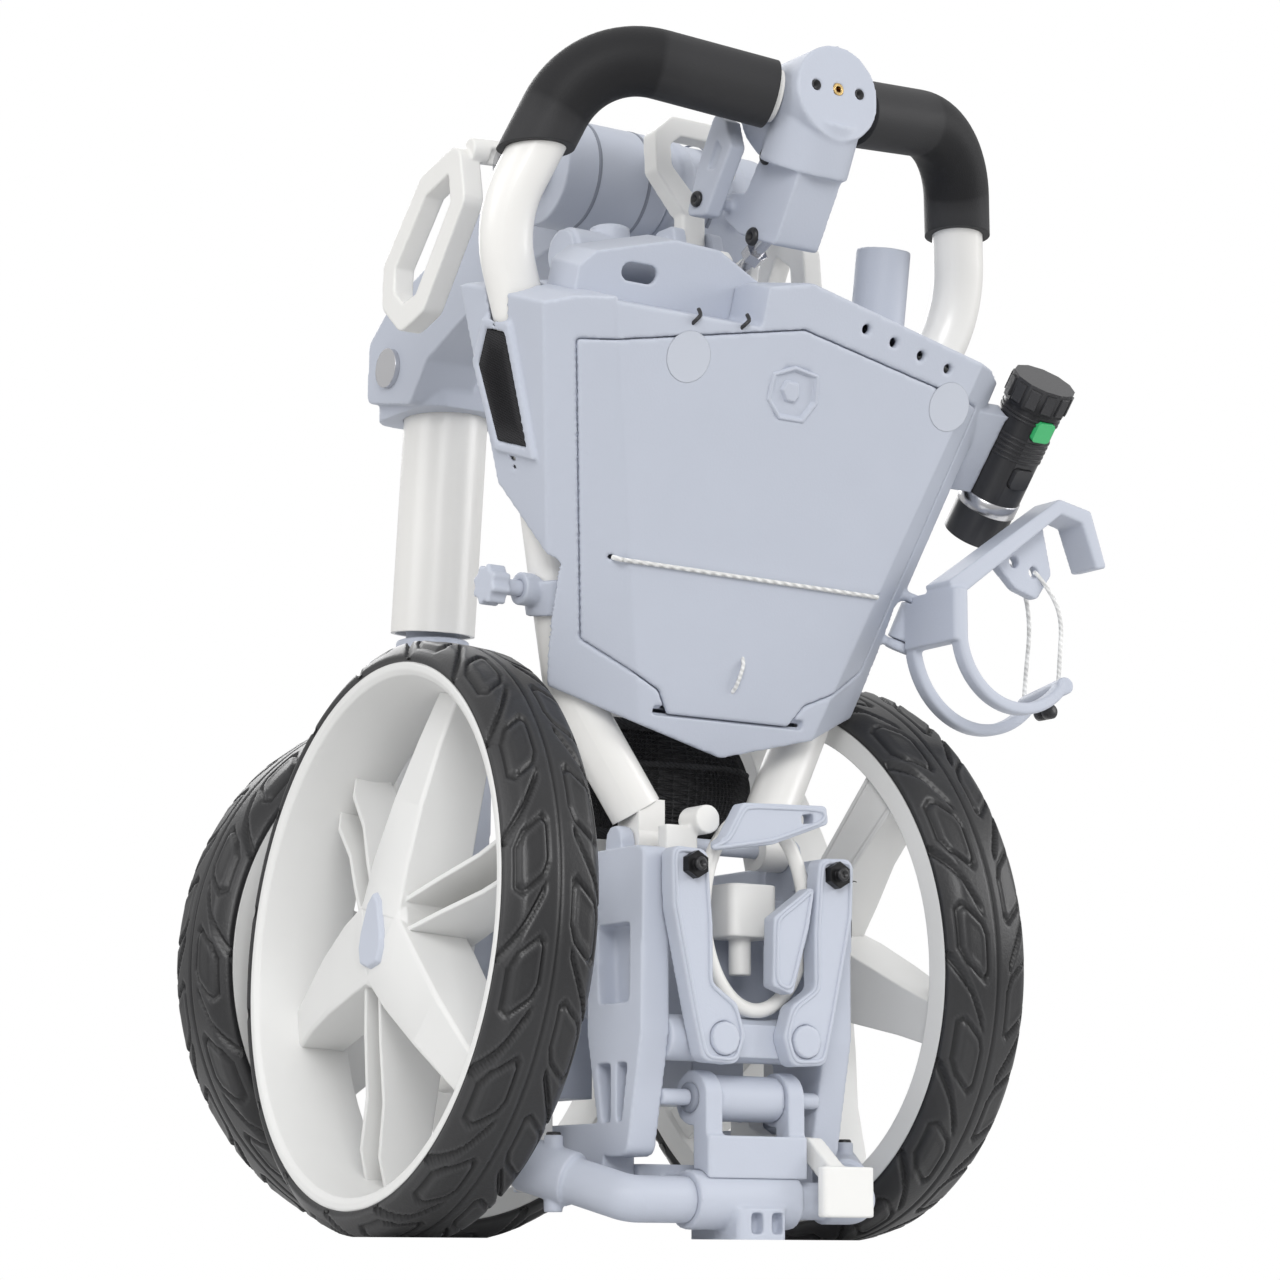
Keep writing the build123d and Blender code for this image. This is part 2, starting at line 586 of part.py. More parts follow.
with BuildPart() as tension_rod:
    add(bar((0, -58, 495), (0, -16, 475.5), 3.1))
    with BuildSketch(Plane(origin=(0, -34, 484), z_dir=(0, 42, -19.5))):
        RegularPolygon(6, 6)
    extrude(amount=6)
save("tension_rod", tension_rod.part)

# ---- console -------------------------------------------------------------------------
tilt = radians(console_tilt)
face = Plane(origin=(0, face_y, face_z), x_dir=(1, 0, 0), z_dir=(0, -cos(tilt), -sin(tilt)))
outline = [(0, 15), (91.5, 38), (137.5, 219), (125, 225), (0, 251), (-125, 225), (-137.5, 219), (-91.5, 38)]
fold_low, fold_high = (55, 38), (111, 228)
facet_low = (91.5, 38, -24)
back_profile = [(-220, 458), (console_back, 458), (console_back, 363), (-12, 320), (16, 262),
                (24, 215), (-220, 215)]
yz = Plane(origin=(0, 0, 0), x_dir=(0, 1, 0), z_dir=(1, 0, 0))


def at_face(x, s, w):
    """Point on the console: x across, s up the face, w out of the face towards the user."""
    return face.origin + face.x_dir * x + face.y_dir * s + face.z_dir * w


def console_solid(inset, front):
    """The console's faceted body, drawn in by inset all round and set back by front."""
    with BuildPart() as body:
        with BuildSketch(face.offset(-front)):
            with BuildLine():
                Polyline(*outline, close=True)
            make_face()
            offset(amount=-inset)
        extrude(amount=-130)
        for side in (-1, 1):
            low = at_face(side * fold_low[0], fold_low[1], -front)
            high = at_face(side * fold_high[0], fold_high[1], -front)
            edge = at_face(side * facet_low[0], facet_low[1], facet_low[2] - front)
            out = (high - low).cross(edge - low) * -side
            split(bisect_by=Plane(origin=low, z_dir=out), keep=Keep.BOTTOM)
        with BuildSketch(yz):
            with BuildLine():
                Polyline(*back_profile, close=True)
            make_face()
            offset(amount=-inset)
        extrude(amount=200, both=True, mode=Mode.INTERSECT)
    return body.part


def face_prism(points, front, back):
    """Prism through the console from depth front to depth back, drawn on the face."""
    with BuildPart() as prism:
        with BuildSketch(face.offset(front)):
            with BuildLine():
                Polyline(*points, close=True)
            make_face()
        extrude(amount=back - front)
    return prism.part


def mirrored(points):
    """Outline points followed by their mirror images, for a closed symmetric outline."""
    return points + [(-x, y) for x, y in reversed(points) if x != 0]


def grown(points, amount):
    """Outline moved out by amount."""
    with BuildSketch() as sketch:
        with BuildLine():
            Polyline(*points, close=True)
        make_face()
        offset(amount=amount, kind=Kind.INTERSECTION)
    return [(v.X, v.Y) for v in [e @ 0 for e in sketch.sketch.face().outer_wire().order_edges()]]


door_outline = mirrored([(0, 228), (120, 205), (84, 64), (43.5, 45.5), (36, 34)])
door_hole = grown(door_outline, door_gap)
hinge_line = at_face(0, door_hinge_s + 2.5, -door_t / 2)
outer_body = console_solid(0, 0)
behind_door = console_solid(0, door_t + 0.4)
inner_body = console_solid(shell_t, shell_t + 1.5)

# tray that stands behind a notch in the console's top edge
notch_left, notch_right, notch_floor, notch_back = -109, -25, 226, -31
tray_back = -58.0
tray_left, tray_right, tray_floor = -114, 6, 224
tray_body = face_prism([(tray_left, tray_floor), (tray_left, 239), (-106, 247), (-63, 259), (-37, 258),
                        (-8, 245), (tray_right, 241), (tray_right, tray_floor)], notch_back, tray_back)

# side panels: raised frames with a recess for a soft pad
pad_t = 1.5
panel_t = 2.5
corner = at_face(137.5, 219, 0)
panel = Plane(origin=corner, x_dir=-face.z_dir, z_dir=face.x_dir * 181 - face.y_dir * 46)
pad_outline = [(53, -18.6), (71, -18.6), (80, -37), (63, -73), (35, -72)]


def panel_prism(points, height):
    """Prism standing on the console's right side wall."""
    with BuildPart() as prism:
        with BuildSketch(panel):
            with BuildLine():
                Polyline(*points, close=True)
            make_face()
        extrude(amount=height)
    return prism.part


# pivot of the cup holder and lamp mount, both on the right side wall
cup_pivot = Vector(113, -8, 312)
cup_axis = Vector(0.246, -0.325, 0.913)
to_wall = (cup_axis * 0.246 - Vector(1, 0, 0)).normalized()
lamp_top = Vector(160, -63, 435)
lamp_end = Vector(160, -3, 365)

with BuildPart() as console_shell:
    add(outer_body)
    # storage space, with the floor and cheeks of the notch and the floor under the tray
    add(inner_body, mode=Mode.SUBTRACT)
    add(face_prism([(notch_left - 3, tray_floor - 3), (notch_right + 3, tray_floor - 3),
                    (notch_right + 3, 270), (notch_left - 3, 270)], 20, notch_back) & outer_body)
    add(face_prism([(tray_left, tray_floor - 3), (tray_right, tray_floor - 3), (tray_right, tray_floor),
                    (tray_left, tray_floor)], notch_back, tray_back) & outer_body)
    # door opening, door rebate and hinge line
    add(face_prism(door_hole, 20, -60) & (outer_body - behind_door), mode=Mode.SUBTRACT)
    add(face_prism(grown(door_outline, -7), 20, -20), mode=Mode.SUBTRACT)
    add(along_x(hinge_line.Y, hinge_line.Z, -45, 45, 2.6), mode=Mode.SUBTRACT)
    # notch and the four tee holes
    add(face_prism([(notch_left, notch_floor), (notch_left, 270), (notch_right, 270),
                    (notch_right, notch_floor)], 20, notch_back), mode=Mode.SUBTRACT)
    add(tray_body, mode=Mode.SUBTRACT)
    for x, s in ((36, 234), (54, 230), (72, 226), (90, 222)):
        add(bar(at_face(x, s, 10), at_face(x, s, -40), 2.6), mode=Mode.SUBTRACT)
    # raised frames of the two side pads
    frame_right = panel_prism(grown(pad_outline, 5), panel_t) - panel_prism(pad_outline, panel_t)
    add(frame_right)
    add(mirror(frame_right, about=Plane.YZ))
    # ways out for the side tubes
    for side in (-1, 1):
        add(bent_tube(side_points(side), side_radii, frame_tube_r + 1), mode=Mode.SUBTRACT)
    # opening for the rear cover
    add(block(-110, 110, console_back - shell_t - 1, console_back + 5, 372, 446), mode=Mode.SUBTRACT)
    # lamp plate, and the pin and two ears of the cup holder
    add(plate([(-52, 416), (-44, 424), (-14, 390), (-22, 382)],
              Plane(origin=(136, 0, 0), x_dir=(0, 1, 0), z_dir=(1, 0, 0)), 18) - outer_body
        - bar(lamp_top, lamp_end, lamp_r))
    add(bar(cup_pivot - cup_axis * 15, cup_pivot + cup_axis * 15, cup_pin_r))
    for near, far in ((-15, -10), (10, 15)):
        add(bar(cup_pivot + cup_axis * near, cup_pivot + cup_axis * far, 7.0))
        middle = cup_pivot + cup_axis * ((near + far) / 2)
        add(bar(middle, middle + to_wall * 11, 2.4))
save("console_shell", console_shell.part)

with BuildPart() as console_rear_cover:
    add(block(-110, 110, console_back - shell_t, console_back - 0.2, 372, 446))
    for side in (-1, 1):
        add(bent_tube(side_points(side), side_radii, frame_tube_r + 1), mode=Mode.SUBTRACT)
save("console_rear_cover", console_rear_cover.part)

with BuildPart() as console_door:
    add(face_prism(door_outline, 20, -60) & (outer_body - console_solid(0, door_t)))
    with BuildSketch(face.offset(5)):
        with Locations((0, 197)):
            RegularPolygon(15, 6, major_radius=True)
    extrude(amount=-6.2, mode=Mode.SUBTRACT)
    for x, s in ((-82, 106), (75, 104)):
        add(bar(at_face(x, s, 4), at_face(x, s, -12), 1.4), mode=Mode.SUBTRACT)
save("console_door", console_door.part)

cord_r = 1.2
with BuildPart() as door_cord:
    route = [at_face(-82, 106, -10), at_face(-82, 106, -3.6), at_face(-72, 105.8, cord_r + 0.1),
             at_face(69, 104.2, cord_r + 0.1), at_face(75, 104, 0.2), at_face(75, 104, -4)]
    add(bent_tube(route, [2.0, 4, 4, 1.6], cord_r))
save("door_cord", door_cord.part)

with BuildPart() as console_tray:
    add(tray_body)
    add(face_prism([(-100, 230), (-100, 238), (-62, 255), (-38, 254), (-4, 239), (-4, 230)],
                   notch_back - 3, tray_back - 5), mode=Mode.SUBTRACT)
    with BuildSketch(face.offset(0)):
        with Locations((-80, 240)):
            SlotOverall(20, 9)
    extrude(amount=-40, mode=Mode.SUBTRACT)
save("console_tray", console_tray.part)

with BuildPart() as side_pads:
    add(panel_prism(pad_outline, pad_t))
    add(mirror(side_pads.part, about=Plane.YZ))
    for side in (-1, 1):
        add(bent_tube(side_points(side), side_radii, frame_tube_r + 1), mode=Mode.SUBTRACT)
save("side_pads", side_pads.part)

# ---- soft bag, handle clevis and umbrella socket --------------------------------------
with BuildPart() as mesh_bag:
    add(block(-58, 52, 34, 70, 196, 258, 12))
    add(block(-34, 30, 14, 40, 246, 258) - outer_body)
save("mesh_bag", mesh_bag.part)

with BuildPart() as handle_clevis:
    add(block(-11, 11, -20, 12, 458.2, 466, 3))
    for side in (-1, 1):
        x0, x1 = sorted((side * 5.0, side * 11.0))
        add(plate([(-21, 482), (-17, 487), (-7, 485), (-3, 465), (-19, 465)],
                  Plane(origin=((x0 + x1) / 2, 0, 0), x_dir=(0, 1, 0), z_dir=(1, 0, 0)), x1 - x0, 1.5))
    add(along_x(-16, 475.5, -8, 8, 3.5))
    add(bar((0, -58, 495), (0, -16, 475.5), 3.1), mode=Mode.SUBTRACT)
save("handle_clevis", handle_clevis.part)

with BuildPart() as umbrella_socket:
    add(bar((98, -2, 456), (98, -10, 506), 14.0) - outer_body)
    add(bar((98, -6, 481), (98, -11, 512), 8.5), mode=Mode.SUBTRACT)
save("umbrella_socket", umbrella_socket.part)

# ---- lamp on the right side wall -----------------------------------------------------
lamp_line = (lamp_end - lamp_top).normalized()
lamp_out = Vector(0, lamp_line.Z, -lamp_line.Y)
with BuildPart() as lamp_body:
    add(bar(lamp_top, lamp_end, lamp_r))
    with BuildSketch(Plane(origin=lamp_top, z_dir=lamp_line)):
        RegularPolygon(lamp_r + 1.3, 12)
    extrude(amount=14)
    for distance in (22, 50):
        seat = Plane(origin=lamp_top + lamp_line * distance + lamp_out * 9.8,
                     x_dir=(1, 0, 0), z_dir=lamp_out)
        with BuildSketch(seat):
            RectangleRounded(button_size + 2 * button_gap, button_size + 2 * button_gap, 2.5)
        extrude(amount=12, mode=Mode.SUBTRACT)
    with BuildSketch(Plane(origin=lamp_end, z_dir=-lamp_line)):
        Circle(lamp_r - 2.5)
    extrude(amount=2, mode=Mode.SUBTRACT)
save("lamp_body", lamp_body.part)

for name, distance in (("green", 22), ("black", 50)):
    with BuildPart() as button:
        seat = Plane(origin=lamp_top + lamp_line * distance + lamp_out * 11.5,
                     x_dir=(1, 0, 0), z_dir=lamp_out)
        with BuildSketch(seat):
            RectangleRounded(button_size, button_size, 2.1)
        extrude(amount=5.4)
    save(f"lamp_button_{name}", button.part)

# ---- cup holder ----------------------------------------------------------------------
cup_far = Plane(origin=(154, -14, 303), x_dir=(1, 0, 0), z_dir=(0, -1, 0))
cup_near = Plane(origin=(149, -50, 303), x_dir=(1, 0, 0), z_dir=(0, -1, 0))
arc_start, arc_end = 186, 322


def hoop(plane, radius):
    """Open hoop of the cup holder, hanging below its plane's centre."""
    with BuildPart() as piece:
        with BuildLine(plane) as route:
            CenterArc((0, 0), radius - cup_bar / 2, arc_start, arc_end - arc_start)
        with BuildSketch(Plane(origin=route.wire() @ 0, x_dir=(0, 1, 0), z_dir=route.wire() % 0)):
            RectangleRounded(8, cup_bar, 1.5)
        sweep(path=route.wire())
    return piece.part


with BuildPart() as cup_holder:
    add(bar(cup_pivot - cup_axis * 9.5, cup_pivot + cup_axis * 9.5, 7.5))
    add(plate([(106, 327), (180, 378), (201, 374), (211, 345), (204, 344), (195, 367), (181, 370),
               (112, 319)], Plane(origin=(0, -40, 0), x_dir=(1, 0, 0), z_dir=(0, -1, 0)), 20, 1.5))
    add(plate([(140, 346), (146, 350), (176, 368), (182, 340), (172, 326), (158, 330)],
              Plane(origin=(0, -37, 0), x_dir=(1, 0, 0), z_dir=(0, -1, 0)), 6, 2))
    for x, z in ((157, 344), (170, 340)):
        add(bar((x, -50, z), (x, -20, z), 3.0), mode=Mode.SUBTRACT)
    add(hoop(cup_far, cup_far_r))
    add(hoop(cup_near, cup_near_r))
    add(block(107, 116, -54, -10, 297, 324, 3))
    end_line = Vector(cos(radians(arc_end)), 0, sin(radians(arc_end)))
    far_end = cup_far.origin + end_line * (cup_far_r - cup_bar / 2)
    near_end = cup_near.origin + end_line * (cup_near_r - cup_bar / 2)
    add(bar(far_end + Vector(0, 4, 0), near_end - Vector(0, 4, 0), 4.5))
    for near, far, clear_r in ((-22, -9.5, 8.0), (9.5, 22, 11.0)):
        add(bar(cup_pivot + cup_axis * near, cup_pivot + cup_axis * far, clear_r), mode=Mode.SUBTRACT)
    add(bar(cup_pivot - cup_axis * 20, cup_pivot + cup_axis * 20, cup_pin_r + run_fit), mode=Mode.SUBTRACT)
save("cup_holder", cup_holder.part)

with BuildPart() as cup_cord:
    clasp = (far_end + near_end) / 2 + Vector(0, 0, -9.0)
    add(bar(clasp - Vector(0, 6, 0), clasp + Vector(0, 6, 0), 4.0))
save("cup_cord", cup_cord.part)

# ---- knob on the left side tube ------------------------------------------------------
knob_y, knob_z = 14.0, 310.0
with BuildPart() as knob_clamp:
    add(bar((-82.7, 16.5, 302), (-87.3, 13.5, 318), frame_tube_r + 3.5))
    add(along_x(knob_y, knob_z, -108, -94, 8.0))
    add(bent_tube(side_points(-1), side_radii, frame_tube_r), mode=Mode.SUBTRACT)
    add(along_x(knob_y, knob_z, -120, -100, knob_shaft_r + run_fit), mode=Mode.SUBTRACT)
save("knob_clamp", knob_clamp.part)

with BuildPart() as side_knob:
    add(along_x(knob_y, knob_z, -128, -118, 10.0))
    add(along_x(knob_y, knob_z, -119, -100.4, knob_shaft_r))
    with BuildSketch(Plane(origin=(-129, knob_y, knob_z), x_dir=(0, 1, 0), z_dir=(1, 0, 0))):
        with PolarLocations(11.5, 8):
            Circle(3.2)
    extrude(amount=12, mode=Mode.SUBTRACT)
save("side_knob", side_knob.part)


# ---- loops that hold the bag's upper strap -------------------------------------------
def bag_arm(side, turn):
    """Collar on the hinge pin with an open oval loop; turn swings it about the pin."""
    loop_plane = Plane(origin=(side * 100.0, 112, 510), x_dir=(0, -0.667, 0.745), z_dir=(1, 0, 0))
    with BuildPart() as arm:
        with BuildSketch(loop_plane):
            with BuildLine():
                Polyline((54, -2), (34, 24), (-30, 27), (-50, 14), (-50, -12), (-32, -26), (22, -24),
                         close=True)
            make_face()
            fillet(vertices(), 9)
            with BuildLine():
                Polyline((36, 0), (26, 12), (-27, 14), (-37, 6), (-37, -6), (-27, -14), (16, -13),
                         close=True)
            make_face(mode=Mode.SUBTRACT)
        extrude(amount=6, both=True)
        x0, x1 = sorted((side * 64.5, side * 80.0))
        add(along_x(barrel_y, barrel_z, x0, x1, 14.0))
        add(bar((side * 73, barrel_y + 8, barrel_z + 8), (side * 99, 79, 548), 6.5))
        add(along_x(barrel_y, barrel_z, side * 60, side * 90, hinge_pin_r + run_fit), mode=Mode.SUBTRACT)
    return arm.part.rotate(Axis((0, barrel_y, barrel_z), (1, 0, 0)), turn)


save("bag_arm_left", bag_arm(-1, 0))
save("bag_arm_right", bag_arm(1, -45))
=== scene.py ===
import json
import logging
import math
from dataclasses import dataclass, field
from enum import Enum

import bmesh
import bpy
from mathutils import Matrix, Vector
from mathutils import noise

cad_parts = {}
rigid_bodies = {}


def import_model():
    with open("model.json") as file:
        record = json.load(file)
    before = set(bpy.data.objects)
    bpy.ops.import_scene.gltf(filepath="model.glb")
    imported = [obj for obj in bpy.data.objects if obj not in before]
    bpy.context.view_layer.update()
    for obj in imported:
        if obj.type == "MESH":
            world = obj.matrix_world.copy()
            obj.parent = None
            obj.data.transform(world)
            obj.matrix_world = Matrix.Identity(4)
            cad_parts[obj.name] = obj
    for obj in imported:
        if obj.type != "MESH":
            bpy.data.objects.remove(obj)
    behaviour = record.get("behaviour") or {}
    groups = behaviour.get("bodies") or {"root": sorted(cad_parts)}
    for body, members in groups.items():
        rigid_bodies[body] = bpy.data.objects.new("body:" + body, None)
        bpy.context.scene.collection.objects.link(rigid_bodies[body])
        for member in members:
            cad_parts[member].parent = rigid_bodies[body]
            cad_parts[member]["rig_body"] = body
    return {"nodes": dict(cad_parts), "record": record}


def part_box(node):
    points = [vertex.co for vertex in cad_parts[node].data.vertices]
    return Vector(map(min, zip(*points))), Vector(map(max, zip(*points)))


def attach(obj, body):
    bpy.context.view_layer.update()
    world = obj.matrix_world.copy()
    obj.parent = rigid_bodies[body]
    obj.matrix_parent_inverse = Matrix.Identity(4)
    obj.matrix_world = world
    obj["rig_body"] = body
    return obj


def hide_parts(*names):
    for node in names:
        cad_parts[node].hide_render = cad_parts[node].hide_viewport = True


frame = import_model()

log = logging.getLogger("push_cart")


class Surface(Enum):
    """Kinds of fine surface relief that a finish can carry."""

    SPARK = "fine moulded spark texture"
    SMOOTH = "smooth powder coat"
    FOAM = "closed-cell foam"
    RUBBER = "moulded rubber"
    BRUSHED = "brushed metal"
    WOVEN = "woven webbing"
    PILE = "loop pile"
    BRAID = "braided elastic"


@dataclass(frozen=True)
class Finish:
    """Colour and surface of one material of the cart."""

    name: str
    colour: tuple[float, float, float]
    roughness: float
    surface: Surface
    metallic: float = 0.0
    relief: float = 0.10
    grain_scale: float = 900.0
    variation: float = 0.05
    coat: float = 0.0
    sheen: float = 0.0
    specular: float = 0.5
    round_edge: float = 0.0008
    slot: str = "grey_plastic"


GREY = Finish("grey_plastic", (0.488, 0.520, 0.598), 0.46, Surface.SPARK, variation=0.03,
              specular=0.35, slot="grey_plastic")
# Dark grey of the barrel seam rings and roller screw heads, and painted shade on the floor of the latch's
# finger opening.
DARK_GREY_AND_PAINTED_SHADE = Finish("dark_grey_and_painted_shade", (0.215, 0.235, 0.285), 0.52, Surface.SPARK, specular=0.3,
                   slot="grey_plastic")
WHITE_TUBE = Finish("white_powder_coat", (0.82, 0.81, 0.785), 0.30, Surface.SMOOTH, relief=0.03,
                    grain_scale=260.0, variation=0.02, coat=0.35, slot="white_tube")
WHITE = Finish("white_moulding", (0.78, 0.775, 0.755), 0.40, Surface.SPARK, relief=0.04,
               variation=0.025, slot="white_plastic")
RIM_WHITE = Finish("rim_moulding", (0.71, 0.71, 0.70), 0.42, Surface.SPARK, relief=0.04,
                   variation=0.03, slot="rim_white")
TYRE = Finish("tyre_rubber", (0.008, 0.008, 0.009), 0.36, Surface.RUBBER, relief=0.16,
              grain_scale=700.0, variation=0.25, specular=0.42, slot="tyre_rubber")
FOAM = Finish("grip_foam", (0.006, 0.006, 0.007), 0.48, Surface.FOAM, relief=0.22,
              grain_scale=1500.0, variation=0.2, specular=0.12, slot="grip_foam")
BLACK = Finish("black_moulding", (0.008, 0.008, 0.010), 0.28, Surface.SPARK, relief=0.10,
               variation=0.15, specular=0.30, slot="black_plastic")
NUT = Finish("blackened_nut", (0.012, 0.012, 0.013), 0.34, Surface.BRUSHED, metallic=0.6,
             relief=0.06, variation=0.2, slot="black_nut")
STEEL = Finish("bright_steel", (0.62, 0.62, 0.64), 0.24, Surface.BRUSHED, metallic=1.0, relief=0.06,
               variation=0.08, slot="steel")
BRASS = Finish("turned_brass", (0.72, 0.50, 0.20), 0.26, Surface.BRUSHED, metallic=1.0, relief=0.06,
               variation=0.10, slot="brass")
WEBBING = Finish("black_webbing", (0.013, 0.013, 0.014), 0.85, Surface.WOVEN, relief=0.8,
                 grain_scale=520.0, variation=0.35, sheen=0.04, specular=0.12, slot="webbing")
PAD = Finish("loop_pile", (0.006, 0.006, 0.007), 0.95, Surface.PILE, relief=1.0, grain_scale=650.0,
             variation=0.5, specular=0.04, slot="pad_fabric")
BRAID = Finish("braided_elastic", (0.74, 0.74, 0.73), 0.62, Surface.BRAID, relief=0.7,
               grain_scale=260.0, variation=0.25, sheen=0.1, slot="elastic_white")
RING = Finish("ring_rubber", (0.80, 0.79, 0.76), 0.38, Surface.SMOOTH, relief=0.03,
              grain_scale=300.0, variation=0.02, slot="ring_white")
GREEN = Finish("green_button", (0.010, 0.47, 0.13), 0.32, Surface.SMOOTH, relief=0.03,
               grain_scale=300.0, variation=0.03, coat=0.3, slot="green_button")
BLANK = Finish("blank_label", (0.510, 0.540, 0.610), 0.34, Surface.SMOOTH, relief=0.02,
               grain_scale=300.0, variation=0.01, slot="grey_plastic")
NETTING = Finish("black_netting", (0.012, 0.012, 0.013), 0.60, Surface.WOVEN, relief=0.2,
                 grain_scale=900.0, variation=0.2, specular=0.35, slot="mesh_fabric")
LENS = Finish("lamp_lens", (0.10, 0.10, 0.11), 0.08, Surface.SMOOTH, relief=0.0, variation=0.02,
              coat=1.0, slot="black_plastic")


class FinishShop:
    """Makes the shader groups and the materials, each one once."""

    def __init__(self) -> None:
        """Build the shared groups."""
        self.made: dict[str, bpy.types.Material] = {}
        self.grain = self._grain_group()
        self.weave = self._weave_group()
        self.edge_shading = self._edge_shading_group()

    @staticmethod
    def _group(name: str, inputs: dict[str, float], outputs: dict[str, str]) -> bpy.types.NodeTree:
        """Start a shader group.

        Args:
            name: Name of the group.
            inputs: Number inputs with their defaults.
            outputs: Output names with their socket kinds.

        Returns:
            The group with its input and output nodes.
        """
        tree = bpy.data.node_groups.new(name, "ShaderNodeTree")
        for label, value in inputs.items():
            socket = tree.interface.new_socket(name=label, in_out="INPUT", socket_type="NodeSocketFloat")
            socket.default_value = value
        for label, kind in outputs.items():
            tree.interface.new_socket(name=label, in_out="OUTPUT", socket_type=kind)
        tree.nodes.new("NodeGroupInput")
        tree.nodes.new("NodeGroupOutput")
        return tree

    def _grain_group(self) -> bpy.types.NodeTree:
        """Fine grain height with a slow colour mottling.

        Returns:
            The group, with Height and Mottle outputs.
        """
        tree = self._group("fine_grain", {"Scale": 800.0, "Slow": 30.0},
                           {"Height": "NodeSocketFloat", "Mottle": "NodeSocketFloat"})
        nodes, links = tree.nodes, tree.links
        entry, leave = nodes["Group Input"], nodes["Group Output"]
        place = nodes.new("ShaderNodeTexCoord")
        fine, slow = nodes.new("ShaderNodeTexNoise"), nodes.new("ShaderNodeTexNoise")
        fine.inputs["Detail"].default_value = 3.0
        slow.inputs["Detail"].default_value = 4.0
        links.new(place.outputs["Object"], fine.inputs["Vector"])
        links.new(place.outputs["Object"], slow.inputs["Vector"])
        links.new(entry.outputs["Scale"], fine.inputs["Scale"])
        links.new(entry.outputs["Slow"], slow.inputs["Scale"])
        links.new(fine.outputs["Fac"], leave.inputs["Height"])
        links.new(slow.outputs["Fac"], leave.inputs["Mottle"])
        return tree

    def _weave_group(self) -> bpy.types.NodeTree:
        """Crossed threads for webbing, pile and braid.

        Returns:
            The group, with Height and Thread outputs.
        """
        tree = self._group("crossed_threads", {"Scale": 500.0, "Skew": 1.0},
                           {"Height": "NodeSocketFloat", "Thread": "NodeSocketFloat"})
        nodes, links = tree.nodes, tree.links
        entry, leave = nodes["Group Input"], nodes["Group Output"]
        place = nodes.new("ShaderNodeTexCoord")
        split = nodes.new("ShaderNodeSeparateXYZ")
        links.new(place.outputs["Object"], split.inputs[0])
        waves = []
        for first, second, sign in (("X", "Z", "ADD"), ("Y", "Z", "SUBTRACT")):
            mix = nodes.new("ShaderNodeMath")
            mix.operation = sign
            links.new(split.outputs[first], mix.inputs[0])
            links.new(split.outputs[second], mix.inputs[1])
            times = nodes.new("ShaderNodeMath")
            times.operation = "MULTIPLY"
            links.new(mix.outputs[0], times.inputs[0])
            links.new(entry.outputs["Scale"], times.inputs[1])
            wave = nodes.new("ShaderNodeMath")
            wave.operation = "SINE"
            links.new(times.outputs[0], wave.inputs[0])
            waves.append(wave)
        cross = nodes.new("ShaderNodeMath")
        cross.operation = "MULTIPLY"
        links.new(waves[0].outputs[0], cross.inputs[0])
        links.new(waves[1].outputs[0], cross.inputs[1])
        shift = nodes.new("ShaderNodeMapRange")
        shift.inputs["From Min"].default_value = -1.0
        links.new(cross.outputs[0], shift.inputs["Value"])
        links.new(shift.outputs["Result"], leave.inputs["Height"])
        links.new(shift.outputs["Result"], leave.inputs["Thread"])
        return tree

    def _edge_shading_group(self) -> bpy.types.NodeTree:
        """Painted edge highlight and crease shade: edges a little lighter and creases a little darker.

        Returns:
            The group, with an Edge output.
        """
        tree = self._group("painted_edge_shading", {"Low": 0.47, "High": 0.56}, {"Edge": "NodeSocketFloat"})
        nodes, links = tree.nodes, tree.links
        entry, leave = nodes["Group Input"], nodes["Group Output"]
        shape = nodes.new("ShaderNodeNewGeometry")
        span = nodes.new("ShaderNodeMapRange")
        links.new(shape.outputs["Pointiness"], span.inputs["Value"])
        links.new(entry.outputs["Low"], span.inputs["From Min"])
        links.new(entry.outputs["High"], span.inputs["From Max"])
        links.new(span.outputs["Result"], leave.inputs["Edge"])
        return tree

    def get(self, finish: Finish) -> bpy.types.Material:
        """Material of a finish.

        Args:
            finish: What the surface is made of.

        Returns:
            The material, made on first use.
        """
        if finish.name in self.made:
            return self.made[finish.name]
        material = bpy.data.materials.new(finish.name)
        material.use_nodes = True
        nodes, links = material.node_tree.nodes, material.node_tree.links
        shader = nodes["Principled BSDF"]
        shader.inputs["Metallic"].default_value = finish.metallic
        shader.inputs["Coat Weight"].default_value = finish.coat
        shader.inputs["Coat Roughness"].default_value = 0.25
        shader.inputs["Sheen Weight"].default_value = finish.sheen
        shader.inputs["Specular IOR Level"].default_value = finish.specular
        grain = nodes.new("ShaderNodeGroup")
        grain.node_tree = self.grain
        grain.inputs["Scale"].default_value = finish.grain_scale
        grain.inputs["Slow"].default_value = 22.0
        edge_shading = nodes.new("ShaderNodeGroup")
        edge_shading.node_tree = self.edge_shading
        threads = finish.surface in (Surface.WOVEN, Surface.PILE, Surface.BRAID)
        relief = grain
        if threads:
            relief = nodes.new("ShaderNodeGroup")
            relief.node_tree = self.weave
            relief.inputs["Scale"].default_value = finish.grain_scale * 4.0
        tint = nodes.new("ShaderNodeMix")
        tint.data_type = "RGBA"
        low = [max(0.0, c * (1.0 - finish.variation)) for c in finish.colour]
        high = [min(1.0, c * (1.0 + finish.variation) + 0.002) for c in finish.colour]
        tint.inputs["A"].default_value = (*low, 1.0)
        tint.inputs["B"].default_value = (*high, 1.0)
        links.new(relief.outputs["Thread" if threads else "Mottle"], tint.inputs["Factor"])
